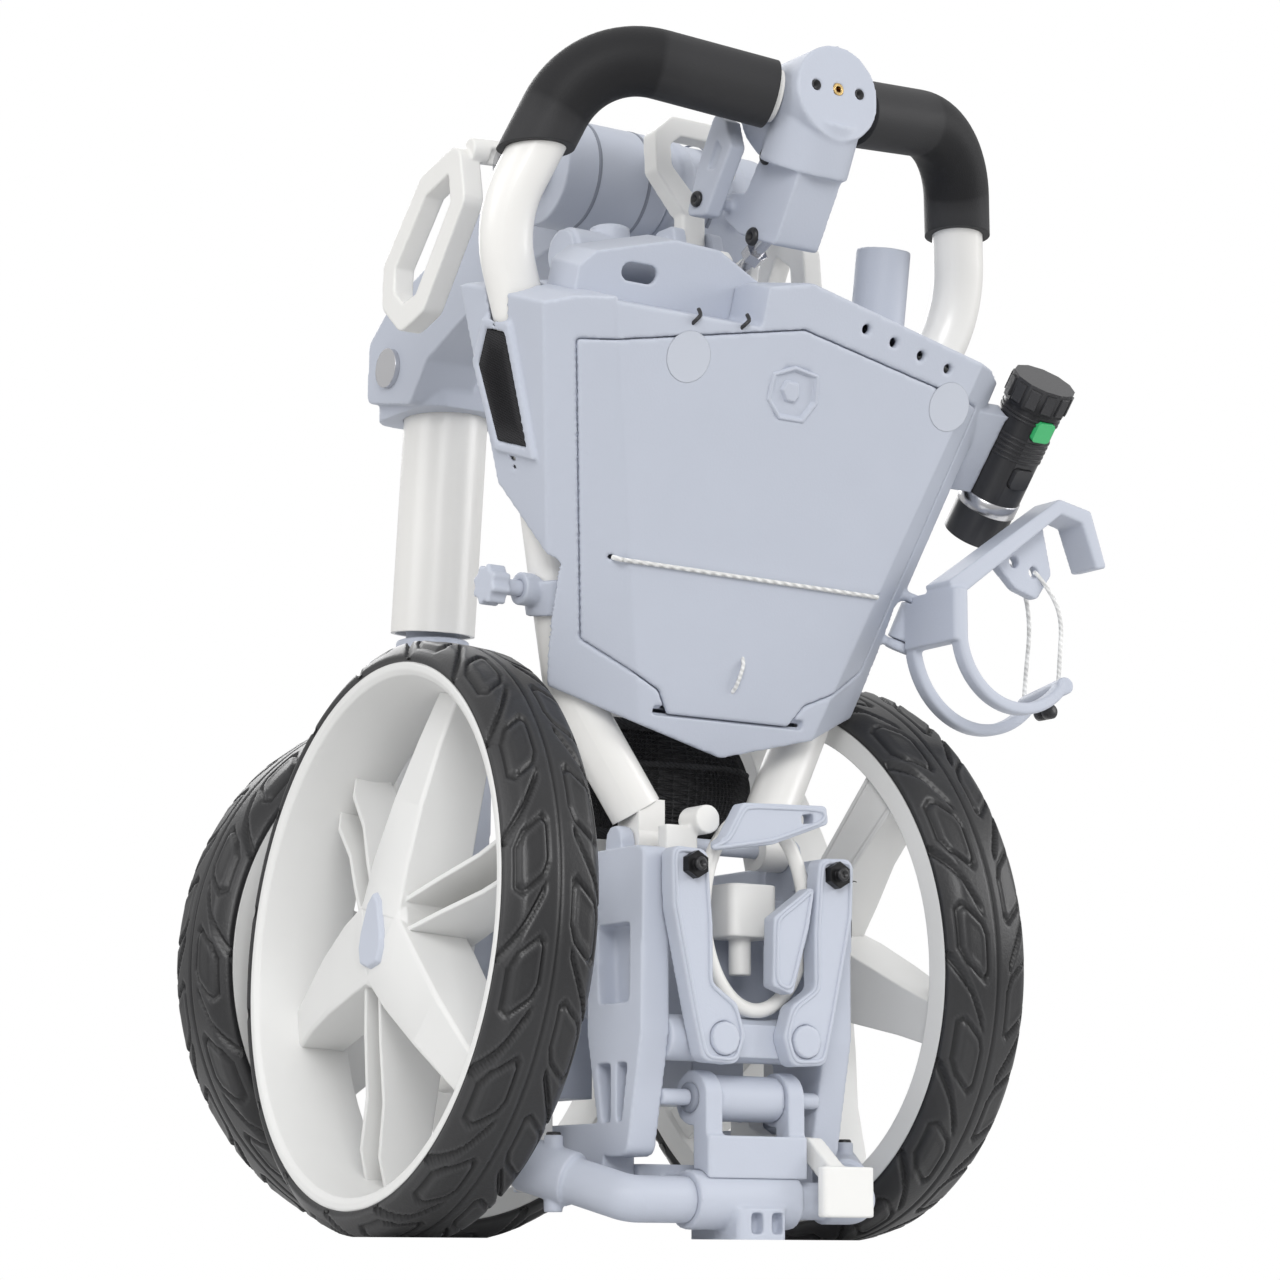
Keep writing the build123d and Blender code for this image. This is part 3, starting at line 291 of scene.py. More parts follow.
        # Painted highlight: the Pointiness mask screens a light grey over sharp edges, so creases stay
        # darker as painted shade.
        edge_highlight = nodes.new("ShaderNodeMix")
        edge_highlight.data_type = "RGBA"
        edge_highlight.blend_type = "SCREEN"
        edge_highlight.inputs["B"].default_value = (0.035, 0.035, 0.036, 1.0)
        links.new(edge_shading.outputs["Edge"], edge_highlight.inputs["Factor"])
        links.new(tint.outputs["Result"], edge_highlight.inputs["A"])
        links.new(edge_highlight.outputs["Result"], shader.inputs["Base Color"])
        rough = nodes.new("ShaderNodeMapRange")
        rough.inputs["To Min"].default_value = max(0.03, finish.roughness - 0.05)
        rough.inputs["To Max"].default_value = min(1.0, finish.roughness + 0.06)
        links.new(grain.outputs["Mottle"], rough.inputs["Value"])
        links.new(rough.outputs["Result"], shader.inputs["Roughness"])
        bump = nodes.new("ShaderNodeBump")
        bump.inputs["Strength"].default_value = finish.relief
        bump.inputs["Distance"].default_value = 0.0006
        links.new(relief.outputs["Height"], bump.inputs["Height"])
        if not threads:
            rounded = nodes.new("ShaderNodeBevel")
            rounded.samples = 4
            rounded.inputs["Radius"].default_value = finish.round_edge
            links.new(rounded.outputs["Normal"], bump.inputs["Normal"])
        links.new(bump.outputs["Normal"], shader.inputs["Normal"])
        self.made[finish.name] = material
        return material


shop = FinishShop()


class Maker:
    """Shared ways of turning outlines, rings and routes into pieces."""

    @staticmethod
    def piece(name: str, verts: list, faces: list, finish: Finish, body: str,
              smooth: bool = True) -> bpy.types.Object:
        """Mesh object from points and faces.

        Args:
            name: Piece name.
            verts: Points in metres.
            faces: Point numbers of each face.
            finish: Its finish.
            body: Body that it rides on.
            smooth: Whether faces are shaded smooth.

        Returns:
            The new piece.
        """
        mesh = bpy.data.meshes.new(name)
        mesh.from_pydata([tuple(v) for v in verts], [], faces)
        mesh.validate()
        shape = bmesh.new()
        shape.from_mesh(mesh)
        bmesh.ops.recalc_face_normals(shape, faces=shape.faces)
        shape.to_mesh(mesh)
        shape.free()
        for polygon in mesh.polygons:
            polygon.use_smooth = smooth
        obj = bpy.data.objects.new(name, mesh)
        bpy.context.scene.collection.objects.link(obj)
        mesh.materials.append(shop.get(finish))
        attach(obj, body)
        log.info("%s: %d points", name, len(verts))
        return obj

    @staticmethod
    def bevel(obj: bpy.types.Object, width: float, segments: int = 3, angle: float = 35.0) -> None:
        """Round a piece's sharp edges.

        Args:
            obj: The piece.
            width: Width of the rounding in metres.
            segments: Steps across it.
            angle: Smallest edge angle that counts, in degrees.
        """
        cut = obj.modifiers.new("rounded", "BEVEL")
        cut.width = width
        cut.segments = segments
        cut.limit_method = "ANGLE"
        cut.angle_limit = math.radians(angle)
        cut.harden_normals = True

    @staticmethod
    def turned(profile: list[tuple[float, float]], base: Matrix, steps: int = 96,
               closed: bool = True) -> tuple[list, list]:
        """Points and faces of a turned shape.

        Args:
            profile: Radius and height of each corner.
            base: Frame whose Z is the axis.
            steps: Steps round the axis.
            closed: Whether the profile closes on itself.

        Returns:
            Points and faces.
        """
        verts, faces, n = [], [], len(profile)
        for i in range(steps):
            turn = 2 * math.pi * i / steps
            verts += [base @ Vector((r * math.cos(turn), r * math.sin(turn), h)) for r, h in profile]
        for i in range(steps):
            j = (i + 1) % steps
            for k in range(n if closed else n - 1):
                m = (k + 1) % n
                faces.append((i * n + k, j * n + k, j * n + m, i * n + m))
        return verts, faces

    @staticmethod
    def prism(outline: list[tuple[float, float]], low: float, high: float,
              base: Matrix, taper: float = 1.0) -> tuple[list, list]:
        """Points and faces of a straight or tapered prism.

        Args:
            outline: Corners in the base's XY plane.
            low: Height of the first end.
            high: Height of the second end.
            base: Frame of the outline.
            taper: Scale of the second end about the outline's middle.

        Returns:
            Points and faces.
        """
        n = len(outline)
        cx, cy = sum(p[0] for p in outline) / n, sum(p[1] for p in outline) / n
        verts = [base @ Vector((x, y, low)) for x, y in outline]
        verts += [base @ Vector((cx + (x - cx) * taper, cy + (y - cy) * taper, high)) for x, y in outline]
        faces = [tuple(range(n)), tuple(range(n, 2 * n))]
        faces += [(i, (i + 1) % n, n + (i + 1) % n, n + i) for i in range(n)]
        return verts, faces

    @staticmethod
    def join(parts: list[tuple[list, list]]) -> tuple[list, list]:
        """Put several shapes' points and faces in one pair of lists.

        Args:
            parts: Points and faces of each shape.

        Returns:
            All points and all faces.
        """
        verts, faces = [], []
        for v, f in parts:
            start = len(verts)
            verts += v
            faces += [tuple(start + i for i in face) for face in f]
        return verts, faces

    @staticmethod
    def cable(name: str, points: list, radius: float, finish: Finish, body: str,
              cyclic: bool = False) -> bpy.types.Object:
        """Round cord along a smooth line.

        Args:
            name: Piece name.
            points: Route in metres.
            radius: Radius in metres.
            finish: Its finish.
            body: Body that it rides on.
            cyclic: Whether the line closes.

        Returns:
            The new piece.
        """
        data = bpy.data.curves.new(name, "CURVE")
        data.dimensions = "3D"
        data.bevel_depth = radius
        data.bevel_resolution = 4
        data.resolution_u = 8
        data.use_fill_caps = True
        line = data.splines.new("NURBS")
        line.points.add(len(points) - 1)
        for spot, at in zip(line.points, points):
            spot.co = (*at, 1.0)
        line.order_u = 3
        line.use_cyclic_u = cyclic
        line.use_endpoint_u = not cyclic
        obj = bpy.data.objects.new(name, data)
        bpy.context.scene.collection.objects.link(obj)
        data.materials.append(shop.get(finish))
        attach(obj, body)
        log.info("%s: cord", name)
        return obj


class WheelSide(Enum):
    """The cart's three wheels."""

    LEFT = "left"
    RIGHT = "right"
    FRONT = "front"


@dataclass
class RoadWheel:
    """One wheel: a deep rim with three broad spokes, and a block-tread tyre. Metres."""

    side: WheelSide
    tyre_radius: float = 0.146
    half_width: float = 0.025
    seat_radius: float = 0.128
    repeats: int = 16
    around: int = 768
    toe: float = math.radians(3.3)
    camber: float = math.radians(3.9)

    def base(self) -> Matrix:
        """Frame at the wheel's centre, Z outward along its axle.

        Returns:
            The frame.
        """
        if self.side is WheelSide.FRONT:
            out, origin = Vector((0, 1, 0)), Vector((0, 0.276, 0.146))
            across = Vector((-1, 0, 0))
        else:
            way = -1.0 if self.side is WheelSide.LEFT else 1.0
            out = Vector((way * math.cos(self.toe), math.sin(self.toe), math.tan(self.camber))).normalized()
            origin = Vector((way * 0.120, 0.089, 0.146))
            across = Vector((0, 0, 1)).cross(out).normalized()
        up = out.cross(across)
        turn = Matrix((across, up, out)).transposed().to_4x4()
        return Matrix.Translation(origin) @ turn

    def cut(self, angle: float, height: float) -> float:
        """Depth of the tread below the tyre's surface.

        Args:
            angle: Angle round the wheel in radians.
            height: Place across the tread, from -1 to 1.

        Returns:
            Depth in metres.
        """
        half = 1.0 if height > 0 else -1.0
        s = abs(height)
        cell = angle * self.repeats / (2 * math.pi) + (0.5 if half < 0 else 0.0)
        u = cell - math.floor(cell) - 0.5
        depth = 0.0
        if s < 0.055:
            depth = 0.0011 * (1 - s / 0.055)
        if 0.16 < s < 0.92:
            lean = u + (s - 0.5) * 0.42
            across, along = abs(lean) / 0.25, abs(s - 0.55) / 0.29
            hexagon = max(across, along, (across + along) / 1.66)
            rim = abs(hexagon - 1.0)
            if rim < 0.13:
                depth = 0.0017 * min(1.0, (1 - rim / 0.13) * 1.8)
            elif hexagon < 0.70:
                depth = 0.0003 * min(1.0, (0.70 - hexagon) / 0.10)
        stripe = abs(((cell + 0.5 + (s - 0.55) * 0.9) % 1.0) - 0.5)
        if s > 0.28 and stripe < 0.055:
            depth = max(depth, 0.0024 * min(1.0, (0.055 - stripe) / 0.02) * min(1.0, (s - 0.28) / 0.08))
        return depth

    def make_tyre(self) -> bpy.types.Object:
        """Tyre with hexagonal shoulder blocks and slanted grooves.

        Returns:
            The tyre.
        """
        w, r, base = self.half_width, self.tyre_radius, self.base()
        crown = []
        for k in range(57):
            t = -1 + 2 * k / 56
            drop = 0.0021 * t * t + 0.0085 * max(0.0, abs(t) - 0.66) ** 1.6 / 0.34 ** 1.6 * 0.85
            crown.append((r - drop, w * math.copysign(min(1.0, abs(t) * 1.0), t), t))
        wall = [(r - 0.0105, w, None), (r - 0.0118, w - 0.0004, None),
                (self.seat_radius + 0.006, w - 0.0002, None),
                (self.seat_radius + 0.003, w - 0.004, None), (self.seat_radius + 0.0005, w - 0.010, None)]
        ring = [(a, -b, t) for a, b, t in reversed(wall)] + crown + wall
        verts, faces, n = [], [], len(ring)
        for i in range(self.around):
            angle = 2 * math.pi * i / self.around
            for radius, height, t in ring:
                if t is not None:
                    radius -= self.cut(angle, t)
                verts.append(base @ Vector((radius * math.cos(angle), radius * math.sin(angle), height)))
        for i in range(self.around):
            j = (i + 1) % self.around
            for k in range(n):
                m = (k + 1) % n
                faces.append((i * n + k, j * n + k, j * n + m, i * n + m))
        name = self.side.value
        tyre = Maker.piece(f"{name}_tread", verts, faces, TYRE, f"{name}_wheel")
        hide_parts(f"{name}_tyre")
        return tyre

    def spoke(self, angle: float) -> tuple[list, list]:
        """One broad spoke, flat outside and deep-sided, narrowing towards the rim.

        Args:
            angle: Its direction in radians.

        Returns:
            Points and faces.
        """
        base, w = self.base(), self.half_width
        stations = ((0.010, 0.0205, w - 0.0035, -w + 0.012), (0.034, 0.0190, w - 0.0048, -w + 0.010),
                    (0.066, 0.0155, w - 0.0090, -w + 0.008), (0.096, 0.0122, w - 0.0150, -w + 0.006),
                    (0.1215, 0.0105, w - 0.0215, -w + 0.004))
        verts = []
        for out, half, top, low in stations:
            for side, z in ((-half, low), (-half, top - 0.0012), (-half * 0.86, top), (half * 0.86, top),
                            (half, top - 0.0012), (half, low)):
                x = out * math.cos(angle) - side * math.sin(angle)
                y = out * math.sin(angle) + side * math.cos(angle)
                verts.append(base @ Vector((x, y, z)))
        faces = [tuple(range(6)), tuple(range(24, 30))]
        for s in range(4):
            for k in range(6):
                m = (k + 1) % 6
                faces.append((s * 6 + k, s * 6 + m, s * 6 + 6 + m, s * 6 + 6 + k))
        return verts, faces

    def channel(self, angle: float) -> list[tuple[list, list]]:
        """Pair of deep thin ribs with a floor between them, low towards the rim.

        Args:
            angle: Direction of the pair in radians.

        Returns:
            Points and faces of the two ribs and of the floor.
        """
        base, w = self.base(), self.half_width
        shapes = []
        stations = ((0.019, w - 0.006, 0.0075), (0.050, w - 0.012, 0.0085), (0.080, w - 0.019, 0.0095),
                    (0.106, w - 0.021, 0.0105), (0.1215, w - 0.027, 0.0110))
        for side in (-1, 0, 1):
            verts = []
            for out, top, spread in stations:
                low = -w + 0.003
                if side:
                    section = ((side * spread - 0.0019, low), (side * spread - 0.0013, top),
                               (side * spread + 0.0013, top), (side * spread + 0.0019, low))
                else:
                    section = ((-spread, low), (-spread, low + 0.0022), (spread, low + 0.0022),
                               (spread, low))
                for sideways, z in section:
                    x = out * math.cos(angle) - sideways * math.sin(angle)
                    y = out * math.sin(angle) + sideways * math.cos(angle)
                    verts.append(base @ Vector((x, y, z)))
            last = 4 * (len(stations) - 1)
            faces = [(0, 1, 2, 3), (last, last + 1, last + 2, last + 3)]
            faces += [(r * 4 + k, r * 4 + (k + 1) % 4, r * 4 + 4 + (k + 1) % 4, r * 4 + 4 + k)
                      for r in range(len(stations) - 1) for k in range(4)]
            shapes.append((verts, faces))
        return shapes

    def make_rim(self) -> bpy.types.Object:
        """White rim with its spokes, fins and hub.

        Returns:
            The rim.
        """
        base, w, seat = self.base(), self.half_width, self.seat_radius
        shell = [(seat, -w + 0.008), (seat, w - 0.008), (seat + 0.0052, w - 0.0045),
                 (seat + 0.0058, w - 0.0008),
                 (seat + 0.0045, w), (seat + 0.0015, w - 0.0002), (seat - 0.001, w - 0.0020),
                 (seat - 0.0065, 0.004), (seat - 0.0085, -0.012), (seat - 0.0065, -w + 0.0006),
                 (seat + 0.0055, -w + 0.0006), (seat + 0.0055, -w + 0.003)]
        hub = [(0.008, -w + 0.001), (0.020, -w + 0.001), (0.0225, -w + 0.004), (0.0245, 0.006),
               (0.0265, w - 0.0085),
               (0.0250, w - 0.0052), (0.0215, w - 0.0038), (0.008, w - 0.0038)]
        parts = [Maker.turned(shell, base, 160), Maker.turned(hub, base, 64)]
        for k in range(3):
            parts.append(self.spoke(math.radians(78 + 120 * k)))
            parts += self.channel(math.radians(138 + 120 * k))
        verts, faces = Maker.join(parts)
        name = self.side.value
        rim = Maker.piece(f"{name}_spoked_rim", verts, faces, RIM_WHITE, f"{name}_wheel")
        Maker.bevel(rim, 0.0011, 3, 30)
        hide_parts(f"{name}_rim")
        return rim

    def make_cap(self) -> bpy.types.Object:
        """Pointed grey hub cap with a soft edge.

        Returns:
            The cap.
        """
        base, w = self.base(), self.half_width
        corners = [(0.0, 0.0215), (-0.0055, 0.0165), (-0.0112, 0.001), (-0.0122, -0.007), (-0.0095, -0.0150),
                   (0.0, -0.0175), (0.0095, -0.0150), (0.0122, -0.007), (0.0112, 0.001), (0.0055, 0.0165)]
        verts, faces = Maker.prism(corners, w - 0.0045, w - 0.0010, base, 0.92)
        name = self.side.value
        cap = Maker.piece(f"{name}_pointed_cap", verts, faces, GREY, f"{name}_wheel")
        Maker.bevel(cap, 0.0012, 3, 30)
        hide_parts(f"{name}_hub_cap")
        return cap

    def build(self) -> None:
        """Make the whole wheel."""
        self.make_tyre()
        self.make_rim()
        self.make_cap()


@dataclass
class Console:
    """Details on the console: latch lip, blank labels, cord loops, pads."""

    tilt: float = math.radians(19.6)
    foot: tuple[float, float, float] = (0.0, 0.003, 0.220)
    half_pad: tuple[float, float] = (0.1375, 0.219)

    def face(self) -> Matrix:
        """Frame of the console's front, X across, Y up it, Z out to the user.

        Returns:
            The frame.
        """
        c, s = math.cos(self.tilt), math.sin(self.tilt)
        turn = Matrix(((1, 0, 0), (0, -s, -c), (0, c, -s))).to_4x4()
        return Matrix.Translation(self.foot) @ turn

    def latch(self) -> None:
        """Faceted lip and finger opening of the door latch, with painted shade on the opening's floor."""
        base = self.face() @ Matrix.Translation((0, 0.197, -0.0012))
        ring = [(15.5, -3), (13, 11), (-2, 13.5), (-14.5, 8.5), (-15, -5), (-6, -13.5), (9, -13.5)]
        outer = [(x / 1000, y / 1000) for x, y in ring]
        n = len(outer)
        verts, faces = [], []
        for scale, z in ((1.0, 0.0), (1.0, 0.0012), (0.95, 0.0021), (0.88, 0.0021), (0.72, -0.0011)):
            verts += [base @ Vector((x * scale, y * scale, z)) for x, y in outer]
        for s in range(4):
            for k in range(n):
                m = (k + 1) % n
                faces.append((s * n + k, s * n + m, s * n + n + m, s * n + n + k))
        lip = Maker.piece("door_latch_lip", verts, faces, GREY, "door", smooth=False)
        Maker.bevel(lip, 0.0005, 2, 25)
        # Dark floor inside the finger opening: painted shade in the recess round the button.
        inner = [(x * 0.70, y * 0.70) for x, y in outer]
        verts, faces = Maker.prism(inner, -0.0012, -0.0006, base)
        Maker.piece("door_latch_painted_shade", verts, faces, DARK_GREY_AND_PAINTED_SHADE, "door", smooth=False)
        hole = [(5.0, -1), (3, 6.5), (-6, 7.0), (-8.5, 1), (-4, -5.0), (2.5, -5.5)]
        verts, faces = Maker.prism([(x / 1000, y / 1000) for x, y in hole], -0.0012, 0.0019, base, 0.70)
        button = Maker.piece("door_latch_button", verts, faces, GREY, "door", smooth=False)
        Maker.bevel(button, 0.0006, 3, 25)

    def blanks(self) -> None:
        """Two round blank labels on the door and the console's face."""
        for number, (x, y, body) in enumerate(((-0.064, 0.206, "door"), (0.095, 0.2035, "upper_frame"))):
            base = self.face() @ Matrix.Translation((x, y, 0))
            profile = [(0.0, 0.0), (0.0125, 0.0), (0.0124, 0.00018), (0.0, 0.00018)]
            verts, faces = Maker.turned(profile, base, 48)
            Maker.piece(f"blank_disc_{number + 1}", verts, faces, BLANK, body, smooth=False)

    def loops(self) -> None:
        """Short elastic loops at the door's foot and in its hook slots."""
        base = self.face()
        places = ((0.0, 0.048, 0.066, "door"), (-0.064, 0.2215, 0.2290, "upper_frame"),
                  (-0.036, 0.2235, 0.2305, "upper_frame"))
        for number, (x, low, high, body) in enumerate(places):
            route = ((x - 0.001, low, -0.001), (x - 0.0012, low + 0.002, 0.0018),
                     (x, (low + high) / 2, 0.0022), (x + 0.0012, high - 0.002, 0.0018),
                     (x + 0.001, high, -0.001))
            points = [base @ Vector(spot) for spot in route]
            Maker.cable(f"cord_loop_{number + 1}", points, 0.0010, BRAID if number == 0 else BLACK, body)

    def pads(self) -> None:
        """Loop-pile pads in the two side recesses."""
        corner = self.face() @ Vector((*self.half_pad, 0))
        c, s = math.cos(self.tilt), math.sin(self.tilt)
        up, into = Vector((0, -s, c)), Vector((0, c, s))
        out = (Vector((181, 0, 0)) - up * 46).normalized()
        along = out.cross(into)
        parts = []
        for side in (-1, 1):
            flip = Matrix.Scale(side, 4, Vector((1, 0, 0)))
            base = flip @ Matrix.Translation(corner) @ Matrix((into, along, out)).transposed().to_4x4()
            outline = [(53, -18.6), (71, -18.6), (80, -37), (63, -73), (35, -72)]
            rings = []
            for scale, z in ((0.985, 0.0002), (0.98, 0.0014), (0.95, 0.0019), (0.6, 0.0021), (0.02, 0.0021)):
                cx, cy = 0.0604, -0.0460
                rings.append([base @ Vector((cx + (x / 1000 - cx) * scale, cy + (y / 1000 - cy) * scale, z))
                              for x, y in outline])
            verts = [v for ring in rings for v in ring]
            faces = [(k * 5 + i, k * 5 + (i + 1) % 5, k * 5 + 5 + (i + 1) % 5, k * 5 + 5 + i)
                     for k in range(4) for i in range(5)]
            faces += [(0, 1, 2, 3, 4), (20, 21, 22, 23, 24)]
            parts.append((verts, faces))
        verts, faces = Maker.join(parts)
        pad = Maker.piece("loop_pile_pads", verts, faces, PAD, "upper_frame", smooth=False)
        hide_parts("side_pads")

    def build(self) -> None:
        """Make the console's details."""
        self.latch()
        self.blanks()
        self.loops()
        self.pads()


@dataclass
class NetBag:
    """Netting bag that hangs under the console, gathered by an elastic hem."""

    low: Vector = field(default_factory=lambda: Vector((-0.058, 0.034, 0.196)))
    high: Vector = field(default_factory=lambda: Vector((0.052, 0.070, 0.258)))
    around: int = 120
    levels: int = 26

    def point(self, turn: float, level: float) -> Vector:
        """Point of the bag's wall.

        Args:
            turn: Angle round the bag in radians.
            level: 0 at the floor, 1 at the hem.

        Returns:
            The point in metres.
        """
        middle = (self.low + self.high) / 2
        half = (self.high - self.low) / 2
        swell = 0.70 + 0.27 * math.sin(math.pi * min(1.0, level * 0.86 + 0.12))
        fold = noise.noise(Vector((math.cos(turn) * 2.4, math.sin(turn) * 2.4, level * 2.2))) * 0.05
        pleat = 0.022 * math.sin(turn * 17 + 3 * level) * level ** 2
        size = min(0.985, swell + fold + pleat)
        c, s = math.cos(turn), math.sin(turn)
        x = middle.x + half.x * size * math.copysign(abs(c) ** 0.6, c)
        y = middle.y + half.y * size * math.copysign(abs(s) ** 0.6, s)
        sag = 0.004 * math.sin(turn * 2 + 0.6) * (1 - level)
        z = self.low.z + 0.002 + (self.high.z - self.low.z - 0.004) * level + abs(sag)
        return Vector((x, y, z))

    def build(self) -> None:
        """Make the netting as crossing strands, with a hem and a floor."""
        verts, faces = [], []
        for k in range(self.levels):
            verts += [self.point(2 * math.pi * i / self.around, k / (self.levels - 1))
                      for i in range(self.around)]
        for k in range(self.levels - 1):
            for i in range(self.around):
                j = (i + 1) % self.around
                a, b = k * self.around, (k + 1) * self.around
                if (i + k) % 2:
                    faces.append((a + i, a + j, b + i))
                    faces.append((a + j, b + j, b + i))
                else:
                    faces.append((a + i, a + j, b + j))
                    faces.append((a + i, b + j, b + i))
        mesh = bpy.data.meshes.new("net")
        mesh.from_pydata(verts, [], faces)
        net = bpy.data.objects.new("netting", mesh)
        bpy.context.scene.collection.objects.link(net)
        wires = net.modifiers.new("strands", "WIREFRAME")
        wires.thickness = 0.0010
        wires.use_even_offset = False
        mesh.materials.append(shop.get(NETTING))
        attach(net, "upper_frame")
        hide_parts("mesh_bag")
        centre = (self.low + self.high) / 2
        inner = [centre + (v - centre) * (0.955 + 0.02 * math.sin(i * 0.9)) for i, v in enumerate(verts)]
        around, rows = self.around, self.levels
        walls = [(k * around + i, k * around + (i + 1) % around, (k + 1) * around + (i + 1) % around,
                  (k + 1) * around + i) for k in range(rows - 1) for i in range(around)]
        Maker.piece("net_folds", inner, walls, NETTING, "upper_frame")
        floor = [self.point(2 * math.pi * i / 40, 0.0) for i in range(40)]
        middle = sum(floor, Vector()) / 40
        verts = floor + [middle + (p - middle) * 0.5 - Vector((0, 0, 0.0012)) for p in floor] + [middle]
        faces = [(i, (i + 1) % 40, 40 + (i + 1) % 40, 40 + i) for i in range(40)]
        faces += [(40 + i, 40 + (i + 1) % 40, 80) for i in range(40)]
        Maker.piece("bag_floor", verts, faces, WEBBING, "upper_frame")
        for number, level in enumerate((0.97, 0.62)):
            points = [self.point(2 * math.pi * i / 48, level) for i in range(48)]
            Maker.cable(f"bag_hem_{number + 1}", points, 0.0016 if number else 0.0030, WEBBING,
                        "upper_frame", True)
        log.info("net bag")


@dataclass
class RaisedRims:
    """Raised rims round the flat mouldings of the bracket. Millimetres, across and up."""

    arm: tuple[tuple[float, float], ...] = ((33, 184), (54, 185), (53, 156), (41, 103), (36, 84), (16, 83),
                                            (11, 97), (16, 112), (30, 121), (30, 148))
    upper_cleat: tuple[tuple[float, float], ...] = ((-36, 183), (-22, 191), (-12, 208), (38, 210), (39, 201),
                                                    (6, 189))
    lower_cleat: tuple[tuple[float, float], ...] = ((5, 121), (17, 117), (27, 150), (31, 172), (23, 166),
                                                    (6, 154))
    arm_front: float = -38.0
    cleat_front: float = -37.5
    inset: float = 2.1
    thickness: float = 0.95

    def drawn_in(self, outline: list[tuple[float, float]]) -> list[tuple[float, float]]:
        """Outline moved inwards by the rims' inset.

        Args:
            outline: Corners in order round the shape.

        Returns:
            Corners of the smaller outline.
        """
        area = sum(a[0] * b[1] - b[0] * a[1] for a, b in zip(outline, outline[1:] + outline[:1]))
        way = math.copysign(1.0, area)
        corners = []
        for k, here in enumerate(outline):
            before, after = outline[k - 1], outline[(k + 1) % len(outline)]
            edges = [Vector((here[0] - before[0], here[1] - before[1])).normalized(),
                     Vector((after[0] - here[0], after[1] - here[1])).normalized()]
            inward = [Vector((-e.y, e.x)) * way for e in edges]
            bisector = (inward[0] + inward[1]).normalized()
            reach = self.inset / max(0.5, bisector.dot(inward[0]))
            corners.append((here[0] + bisector.x * reach, here[1] + bisector.y * reach))
        return corners

    def build(self) -> None:
        """Run a rounded rim along each outline."""
        shapes = [("arm_rim_right", [tuple(p) for p in self.arm], self.arm_front),
                  ("arm_rim_left", [(-x, z) for x, z in self.arm], self.arm_front),
                  ("upper_cleat_rim", list(self.upper_cleat), self.cleat_front),
                  ("lower_cleat_rim", list(self.lower_cleat), self.cleat_front)]
        for name, outline, front in shapes:
            dense = []
            inner = self.drawn_in(outline)
            for a, b in zip(inner, inner[1:] + inner[:1]):
                run = math.dist(a, b)
                for t in (min(0.5, 2.2 / run), 0.5, max(0.5, 1 - 2.2 / run)):
                    dense.append((a[0] + (b[0] - a[0]) * t, a[1] + (b[1] - a[1]) * t))
            points = [Vector((x / 1000, front / 1000, z / 1000)) for x, z in dense]
            Maker.cable(name, points, self.thickness / 1000, GREY, "chassis", cyclic=True)


@dataclass
class StrapBundle:
    """Folded end of the lower bag strap beside the bracket."""

    width: float = 0.030

    def build(self) -> None:
        """Make folded webbing with frayed threads."""
        path = [(0.0640, 0.000, 0.1745), (0.0700, 0.002, 0.1770), (0.0720, 0.004, 0.1700),
                (0.0715, 0.004, 0.1500), (0.0690, 0.003, 0.1475), (0.0668, 0.003, 0.1520),
                (0.0665, 0.003, 0.1680), (0.0645, 0.003, 0.1700)]
        parts = []
        for layer, shift in enumerate((0.0, 0.0016)):
            verts, faces = [], []
            fine = 6
            for i in range((len(path) - 1) * fine + 1):
                k, t = divmod(i, fine)
                a, b = Vector(path[k]), Vector(path[min(k + 1, len(path) - 1)])
                at = a.lerp(b, t / fine)
                for side in range(7):
                    y = (side / 6 - 0.5) * self.width
                    ripple = 0.0006 * math.sin(y * 300 + i * 0.3 + layer)
                    lift = shift * (0.4 if k < 2 else -0.2)
                    verts.append(Vector((at.x + shift * 0.4 + ripple, at.y + y, at.z + lift)))
            rows = len(verts) // 7
            for r in range(rows - 1):
                for c in range(6):
                    faces.append((r * 7 + c, r * 7 + c + 1, r * 7 + 8 + c, r * 7 + 7 + c))
            parts.append((verts, faces))
        verts, faces = Maker.join(parts)
        strap = Maker.piece("folded_webbing", verts, faces, WEBBING, "chassis")
        thick = strap.modifiers.new("thickness", "SOLIDIFY")
        thick.thickness = 0.0012
        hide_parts("webbing_strap")
        profile = [(0.0, 0.0622), (0.0045, 0.0622), (0.0045, 0.0755), (0.003, 0.076), (0.0, 0.076)]
        base = Matrix.Translation((0, -0.002, 0.140)) @ Matrix.Rotation(math.pi / 2, 4, "Y")
        pin, pin_faces = Maker.turned(profile, base, 24)
        Maker.piece("strap_peg", pin, pin_faces, WHITE, "chassis")
        for number in range(5):
            start = Vector((0.0715, -0.010 + number * 0.006, 0.1765))
            wave = 0.5 + 0.5 * math.sin(number * 2.1)
            points = [start, start + Vector((0.001, -0.001, 0.0006)),
                      start + Vector((0.0018 * wave, -0.004, 0.0010)),
                      start + Vector((0.001, -0.007 * wave - 0.002, 0.0002))]
            Maker.cable(f"loose_thread_{number + 1}", points, 0.00022, WEBBING, "chassis")


